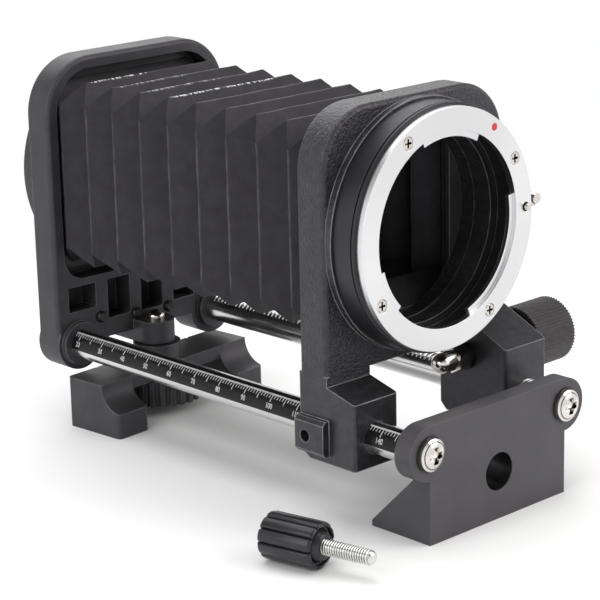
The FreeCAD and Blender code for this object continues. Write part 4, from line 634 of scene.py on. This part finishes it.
scale_mesh = bmesh.new()
for tick in range(FIRST_TICK, LAST_TICK + 1):
    foot = LONG_TICK if tick % 5 == 0 else SHORT_TICK
    width = TICK_WIDTH * (1.25 if tick % 10 == 0 else 1)
    flat_bar(scale_mesh, (tick * MM - width / 2, foot * PRINT_RADIUS),
             (tick * MM + width / 2, TICK_TOP * PRINT_RADIUS), 4)
line_low = TICK_TOP * PRINT_RADIUS
flat_bar(scale_mesh, (FIRST_TICK * MM, line_low), (LAST_TICK * MM, line_low + LINE_WIDTH), 2)
print("ticks:", LAST_TICK - FIRST_TICK + 1)

# %% Add the numbers
for number in range(20, LAST_TICK, 10):
    words = bpy.data.curves.new("scale_number", "FONT")
    words.body = str(number)
    words.size = NUMBER_SIZE
    words.align_x = "CENTER"
    words.align_y = "CENTER"
    words.resolution_u = 3
    words.offset = 0.05 * MM
    sign = bpy.data.objects.new("scale_number", words)
    flat = bpy.data.meshes.new_from_object(sign)
    to_place = Matrix.Translation((number * MM, NUMBER_MIDDLE * PRINT_RADIUS, 0))
    flat.transform(to_place @ Matrix.Diagonal((NUMBER_NARROWING, 1, 1, 1)))
    scale_mesh.from_mesh(flat)
    bpy.data.meshes.remove(flat)
    bpy.data.objects.remove(sign)
    bpy.data.curves.remove(words)

# %% Cut the long edges, so that the sheet can bend
LONGEST_EDGE = 0.4 * MM
for _ in range(3):
    bmesh.ops.triangulate(scale_mesh, faces=scale_mesh.faces)
    upright_edges = [edge for edge in scale_mesh.edges
                     if abs(edge.verts[0].co.y - edge.verts[1].co.y) > LONGEST_EDGE]
    bmesh.ops.subdivide_edges(scale_mesh, edges=upright_edges, cuts=1)

# %% Wrap the sheet round the rail
for vert in scale_mesh.verts:
    along, angle = vert.co.x, vert.co.y / PRINT_RADIUS
    vert.co = Vector((RAIL_X - PRINT_RADIUS * math.cos(angle), SCALE_ZERO - along,
                      RAIL_Z + PRINT_RADIUS * math.sin(angle)))
add_piece("rail_scale", scale_mesh, "base", white_paint)

# %% [markdown]
# ## The edges inside the tube
# The light path narrows in steps behind the lens ring. The rim of each step shows as a thin light arc
# in the dark, a highlight, so each rim is painted as a small ridge of light metal spun round the optical
# axis.

# %% Rims in the light path
# Radius, place along the axis and thickness of each rim, in millimetres.
RIMS = ((25.9, 15.95, 0.16), (25.9, 21.6, 0.13), (27.0, 14.4, 0.1))
rims = [spun([(radius * MM, 0), ((radius - size) * MM, 0), ((radius - size) * MM, size * MM),
              (radius * MM, size * MM), (radius * MM, 0)], Y_AXIS, (0, middle * MM, AXIS_Z), 128)
        for radius, middle, size in RIMS]
# Painted highlights: thin ridges of light metal at the rims of the bore.
add_piece("bore_rims", joined(rims), "front_carriage", bore_rim_highlight)

# %% [markdown]
# ## The mount tube
# The tube between the front standard and the lens ring is turned from one piece: a smooth outside, a
# fine groove close behind its lip and a stepped bore. A turned part is a profile spun round its axis.
# The slot for the release lever is then cut out with a Boolean modifier, and its result is kept. It is
# deep enough for the lever and its pin to be pushed back.

# %% Spin the tube and cut its slot
tube_low, tube_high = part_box("mount_tube")
lever_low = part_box("release_lever")[0]
TUBE_RADIUS = (tube_high[0] - tube_low[0]) / 2
TUBE_LENGTH = tube_high[1] - tube_low[1]
WIDE_BORE, NARROW_BORE, WIDE_DEPTH = 27.0 * MM, 25.9 * MM, 5.9 * MM
SLOT_ROOM = 0.1 * MM
SLOT_DEPTH = 3.8 * MM
SLOT_WIDTH = 2.4 * MM
PIN_HEIGHT = 73.5 * MM
profile = [(WIDE_BORE, 0), (TUBE_RADIUS - 0.25 * MM, 0), (TUBE_RADIUS, 0.25 * MM), (TUBE_RADIUS, 0.8 * MM),
           (TUBE_RADIUS - 0.12 * MM, 0.92 * MM), (TUBE_RADIUS - 0.5 * MM, 0.95 * MM),
           (TUBE_RADIUS - 0.5 * MM, 1.25 * MM), (TUBE_RADIUS - 0.12 * MM, 1.28 * MM),
           (TUBE_RADIUS, 1.4 * MM), (TUBE_RADIUS, TUBE_LENGTH), (NARROW_BORE, TUBE_LENGTH),
           (NARROW_BORE, WIDE_DEPTH), (WIDE_BORE, WIDE_DEPTH), (WIDE_BORE, 0)]
tube_mesh = spun(profile, Y_AXIS, (0, tube_low[1], AXIS_Z), 160)
slot_mesh = bmesh.new()
slot_block = bmesh.ops.create_cube(slot_mesh, size=1.0)["verts"]
slot_size = ((TUBE_RADIUS * 2 - lever_low[0]) - SLOT_ROOM, SLOT_DEPTH + 2 * SLOT_ROOM,
             SLOT_WIDTH + 2 * SLOT_ROOM)
bmesh.ops.scale(slot_mesh, vec=slot_size, verts=slot_block)
bmesh.ops.translate(slot_mesh, verts=slot_block, vec=(
    lever_low[0] - SLOT_ROOM + slot_size[0] / 2, tube_low[1] - 2 * SLOT_ROOM + slot_size[1] / 2, PIN_HEIGHT))
cutter_mesh = bpy.data.meshes.new("slot_cutter")
slot_mesh.to_mesh(cutter_mesh)
slot_mesh.free()
cutter = bpy.data.objects.new("slot_cutter", cutter_mesh)
bpy.context.scene.collection.objects.link(cutter)
tube_whole = bpy.data.meshes.new("tube_whole")
tube_mesh.to_mesh(tube_whole)
tube_mesh.free()
tube_object = bpy.data.objects.new("tube_whole", tube_whole)
bpy.context.scene.collection.objects.link(tube_object)
cut = tube_object.modifiers.new("slot", "BOOLEAN")
cut.object = cutter
cut.operation = "DIFFERENCE"
cut.solver = "EXACT"
bpy.context.view_layer.update()
tube_cut = bpy.data.meshes.new_from_object(tube_object.evaluated_get(bpy.context.evaluated_depsgraph_get()))
tube_final = bmesh.new()
tube_final.from_mesh(tube_cut)
for spare in (tube_object, cutter):
    bpy.data.objects.remove(spare)
for spare in (tube_whole, cutter_mesh, tube_cut):
    bpy.data.meshes.remove(spare)
add_piece("turned_tube", tube_final, "front_carriage", tube_black, ["mount_tube"], 30)

# %% [markdown]
# ## The thumbscrew
# The screw that locks the front standard lies in front of the unit. Its black head has ten broad lands
# with narrow grooves between them, and a hollow round the stud's collar. A circle is given its grooves
# point by point, then pulled along its axis through a list of stations. The stud is a true thread: one
# small V is turned and moved forward at the same time, and its turns are merged.

# %% Shape of the head
HEAD_TURN = math.radians(12.5)
HEAD_START = Vector((-57.2 * MM, 14.0 * MM, 6.0 * MM))
LANDS = 10
CIRCLE_POINTS = LANDS * 16
GROOVE_SHARE, GROOVE_DEPTH, CROWN = 0.3, 0.85 * MM, 0.12 * MM
lying = (Matrix.Translation(HEAD_START) @ Matrix.Rotation(HEAD_TURN, 4, "Z")
         @ Matrix.Rotation(math.radians(90), 4, "X"))


def land_radius(angle, radius, groove):
    """The head's radius in a direction: broad rounded lands with narrow grooves between them."""
    place = (angle * LANDS / (2 * math.pi)) % 1
    off_groove = min(place, 1 - place) * 2
    notch = max(0.0, 1 - off_groove / GROOVE_SHARE) ** 1.3
    crown = CROWN * (1 - off_groove) ** 2
    return radius - groove * (GROOVE_DEPTH * notch + crown)


# Place along the head and radius, in millimetres, and the share of the grooves' depth there.
HEAD_STATIONS = (
    (0.0, 4.9, 0.8), (0.12, 5.35, 1), (0.5, 5.85, 1), (0.9, 6.0, 1), (14.6, 6.0, 1), (15.1, 5.85, 1),
    (15.42, 5.5, 0.95), (15.5, 5.2, 0.7), (15.44, 4.95, 0.1), (15.1, 4.85, 0), (14.5, 4.8, 0),
    (14.4, 4.65, 0), (14.4, 4.35, 0), (14.6, 4.25, 0), (15.9, 3.5, 0), (16.35, 3.2, 0), (16.5, 2.9, 0),
    (16.5, 2.3, 0), (16.3, 2.1, 0), (15.0, 2.05, 0),
)
head_mesh = bmesh.new()
circle = bmesh.ops.create_circle(head_mesh, cap_ends=False, segments=CIRCLE_POINTS,
                                 radius=1.0)["verts"]
loop = list(head_mesh.edges)
first_loop = loop
new_verts = circle
for number, (along, radius, groove) in enumerate(HEAD_STATIONS):
    if number:
        grown = bmesh.ops.extrude_edge_only(head_mesh, edges=loop)["geom"]
        loop = [item for item in grown if isinstance(item, bmesh.types.BMEdge)]
        new_verts = [item for item in grown if isinstance(item, bmesh.types.BMVert)]
    for vert in new_verts:
        angle = math.atan2(vert.co.y, vert.co.x)
        reach = land_radius(angle, radius * MM, groove)
        vert.co = Vector((math.cos(angle) * reach, math.sin(angle) * reach, along * MM))
bmesh.ops.contextual_create(head_mesh, geom=first_loop)
bmesh.ops.contextual_create(head_mesh, geom=loop)
bmesh.ops.recalc_face_normals(head_mesh, faces=head_mesh.faces)
bmesh.ops.transform(head_mesh, matrix=lying, verts=head_mesh.verts)
add_piece("thumbscrew_grip", head_mesh, "thumbscrew", gloss, ["thumbscrew_head"], 40)

# %% Thread of the stud
PITCH = 0.7 * MM
CREST, ROOT = 2.0 * MM, 1.62 * MM
THREAD_START, THREAD_END = 14.9 * MM, 30.5 * MM
TIP = 1.3 * MM
TURN_STEPS = 32
turns = math.ceil((THREAD_END - THREAD_START) / PITCH) + 2
thread_mesh = bmesh.new()
begin = THREAD_START - PITCH
profile = [(ROOT, 0.0), (ROOT, 0.1), (CREST, 0.42), (CREST, 0.58), (ROOT, 0.9), (ROOT, 1.0)]
verts = [thread_mesh.verts.new((radius, 0, begin + share * PITCH)) for radius, share in profile]
edges = [thread_mesh.edges.new(pair) for pair in zip(verts, verts[1:])]
bmesh.ops.spin(thread_mesh, geom=verts + edges, cent=(0, 0, 0), axis=Z_AXIS, angle=2 * math.pi * turns,
               dvec=Z_AXIS * PITCH / TURN_STEPS, steps=TURN_STEPS * turns, use_merge=False,
               use_duplicate=False)
bmesh.ops.remove_doubles(thread_mesh, verts=thread_mesh.verts, dist=5e-6)
for vert in thread_mesh.verts:
    radius = math.hypot(vert.co.x, vert.co.y)
    to_end = THREAD_END - vert.co.z
    if vert.co.z < THREAD_START:
        limit = 0.0
    elif to_end < TIP:
        limit = CREST * math.sqrt(max(0.0, 1 - (1 - max(0.0, to_end) / TIP) ** 2)) * 0.93
    else:
        limit = CREST
    factor = min(1.0, limit / radius)
    vert.co = Vector((vert.co.x * factor, vert.co.y * factor,
                      min(max(vert.co.z, THREAD_START), THREAD_END)))
bmesh.ops.remove_doubles(thread_mesh, verts=thread_mesh.verts, dist=5e-6)
bmesh.ops.dissolve_degenerate(thread_mesh, dist=1e-6, edges=thread_mesh.edges)
bmesh.ops.recalc_face_normals(thread_mesh, faces=thread_mesh.faces)
bmesh.ops.transform(thread_mesh, matrix=lying, verts=thread_mesh.verts)
add_piece("thumbscrew_thread", thread_mesh, "thumbscrew", zinc, ["thumbscrew_stud"], 18)

# %% [markdown]
# ## Finishes on the solids
# Every solid whose shape is right keeps its mesh and gets its finish in its material slot.

# %% Give every solid its finish
FINISHES = {
    "scaled_rail": rail_finish, "rack_rail": rack_steel, "rear_standard": moulded, "camera_mount": satin_ring,
    "camera_mount_screws": nickel, "web_screws": black_steel, "bracket_screws": screw_nickel,
    "bracket_washers": black_steel, "rail_rear_screws": nickel, "front_bracket": anodised,
    "bellows_rear_frame": moulded, "bellows_front_frame": moulded, "front_standard": crackle,
    "mount_tube": tube_black, "lens_mount_ring": satin_ring, "ring_screws": nickel, "index_dot": red_dot,
    "lock_pin": nickel, "release_lever": nickel, "pinion_shaft": nickel, "thrust_washer": black_steel,
    "lock_nut": nickel, "dome_nut": nickel, "pinion_bush": black_steel, "drive_knob": knurled,
    "rear_foot": moulded, "clamp_disc": moulded, "clamp_stud": nickel, "thumbscrew_head": gloss,
    "thumbscrew_stud": zinc, "bellows": cloth,
}
for name, finish in FINISHES.items():
    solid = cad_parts[name]
    solid.data.materials.clear()
    solid.data.materials.append(finish)
print("solids with a finish:", len(FINISHES))

# %% [markdown]
# ## Floor, light and camera
# A product photograph on white paper has a floor that takes soft shadows near the object and runs out
# into plain white. The floor's finish does the same: pale paper close by, and further off the camera
# and the reflections see white, by the distance from the object.

# %% Floor
PAPER_MIDDLE = (0.0, 0.06, 0.0)
FADE_START, FADE_END = 0.1, 0.25
paper = shade("studio paper", (0.91, 0.91, 0.91), 0.7, specular=0.1)
floor_place = node(paper, "ShaderNodeVectorMath")
floor_place.operation = "LENGTH"
shifted = node(paper, "ShaderNodeVectorMath")
shifted.operation = "SUBTRACT"
link(paper, place_of(paper), shifted.inputs[0])
shifted.inputs[1].default_value = PAPER_MIDDLE
link(paper, shifted.outputs[0], floor_place.inputs[0])
far_away = node(paper, "ShaderNodeMapRange", **{"From Min": FADE_START, "From Max": FADE_END})
far_away.interpolation_type = "SMOOTHSTEP"
link(paper, floor_place.outputs["Value"], far_away.inputs["Value"])


def seen_rays(material):
    """One for rays of the camera, of mirrors and of glass, and zero for the light's own."""
    rays = material.node_tree.nodes.new("ShaderNodeLightPath")
    seen = maths(material, "MAXIMUM", rays.outputs["Is Camera Ray"], rays.outputs["Is Glossy Ray"])
    return maths(material, "MAXIMUM", seen, rays.outputs["Is Transmission Ray"])


white_light = node(paper, "ShaderNodeEmission", Color=(1, 1, 1, 1), Strength=1.0)
paper_mix = paper.node_tree.nodes.new("ShaderNodeMixShader")
link(paper, maths(paper, "MULTIPLY", far_away.outputs["Result"], seen_rays(paper)), paper_mix.inputs[0])
link(paper, surface(paper).outputs[0], paper_mix.inputs[1])
link(paper, white_light.outputs[0], paper_mix.inputs[2])
link(paper, paper_mix.outputs[0], paper.node_tree.nodes["Material Output"].inputs["Surface"])

floor = bmesh.new()
bmesh.ops.create_grid(floor, x_segments=8, y_segments=8, size=3.0)
floor_mesh = bpy.data.meshes.new("floor")
floor.to_mesh(floor_mesh)
floor.free()
floor_piece = bpy.data.objects.new("floor", floor_mesh)
bpy.context.scene.collection.objects.link(floor_piece)
floor_mesh.materials.append(paper)

# %% [markdown]
# The world is a white room with a dim ceiling. It lights the object softly from everywhere. The camera
# and low mirror rays see it at full white, and mirrors that look up find the dark between the panels,
# which is what gives black gloss its depth. Large soft panels above and at the sides shape the object.

# %% World
ROOM_LIGHT = 0.48
CEILING = 0.35
CEILING_START, CEILING_FULL = 0.28, 0.5
world = bpy.context.scene.world or bpy.data.worlds.new("studio")
bpy.context.scene.world = world
world.use_nodes = True
background = world.node_tree.nodes["Background"]
background.inputs["Color"].default_value = (1, 1, 1, 1)
looking = world.node_tree.nodes.new("ShaderNodeTexCoord")
height = node(world, "ShaderNodeSeparateXYZ")
link(world, looking.outputs["Generated"], height.inputs["Vector"])
ceiling = node(world, "ShaderNodeMapRange", **{"From Min": CEILING_START, "From Max": CEILING_FULL,
                                                "To Min": 1.0, "To Max": CEILING})
ceiling.interpolation_type = "SMOOTHSTEP"
link(world, height.outputs["Z"], ceiling.inputs["Value"])
rays = world.node_tree.nodes.new("ShaderNodeLightPath")


def between(share, first, second):
    """A strength between two others, by a share of one or zero."""
    item = world.node_tree.nodes.new("ShaderNodeMix")
    link(world, share, item.inputs["Factor"])
    for place, value in ((2, first), (3, second)):
        if isinstance(value, float):
            item.inputs[place].default_value = value
        else:
            link(world, value, item.inputs[place])
    return item.outputs[0]


mirrored = maths(world, "MAXIMUM", rays.outputs["Is Glossy Ray"], rays.outputs["Is Transmission Ray"])
seen_in_mirror = between(mirrored, ROOM_LIGHT, ceiling.outputs["Result"])
link(world, between(rays.outputs["Is Camera Ray"], seen_in_mirror, 1.0), background.inputs["Strength"])


# %% [markdown]
# Four soft boxes do the shaping. The one overhead lights the tops, and the one at the left gives the
# sides their tone. The warm one in front picks out the knob's side, and the last lights the back.

# %% Lamps
AIM = (0, 0.06, 0.05)


def lamp(name, place, size, power, colour=(1, 1, 1)):
    """A square soft box that looks at the middle of the object."""
    data = bpy.data.lights.new(name, "AREA")
    data.size = size
    data.energy = power
    data.color = colour
    item = bpy.data.objects.new(name, data)
    item.location = place
    item.rotation_euler = (Vector(AIM) - Vector(place)).to_track_quat("-Z", "Y").to_euler()
    bpy.context.scene.collection.objects.link(item)


lamp("overhead", (0.0, 0.15, 1.1), 1.0, 6.4)
lamp("left", (-1.0, 0.0, 0.6), 0.8, 5.0)
lamp("front", (0.75, -0.85, 0.75), 0.9, 8.0, (1.0, 0.97, 0.94))
lamp("back", (0.4, 1.0, 0.9), 1.1, 6.5)

# %% [markdown]
# The camera stands where the photograph was taken from: low, at the front left, with a long lens that
# keeps the rails nearly parallel.

# %% Camera
CAMERA_PLACE = (-0.39348, -0.35666, 0.20895)
AZIMUTH = math.radians(-43.23)
ELEVATION = math.radians(16.03)
ROLL = math.radians(1.35)
LENS = 132.0
right = Vector((math.cos(AZIMUTH), math.sin(AZIMUTH), 0))
back = Vector((math.sin(AZIMUTH) * math.cos(ELEVATION), -math.cos(AZIMUTH) * math.cos(ELEVATION),
               math.sin(ELEVATION)))
up = back.cross(right)
turn = Matrix((right, up, back)).transposed()
camera_data = bpy.data.cameras.new("camera")
camera_data.lens = LENS
camera_data.sensor_width = 36.0
camera = bpy.data.objects.new("camera", camera_data)
camera.matrix_world = Matrix.Translation(CAMERA_PLACE) @ turn.to_4x4() @ Matrix.Rotation(-ROLL, 4, "Z")
bpy.context.scene.collection.objects.link(camera)
bpy.context.scene.camera = camera
bpy.context.scene.view_settings.view_transform = "Standard"
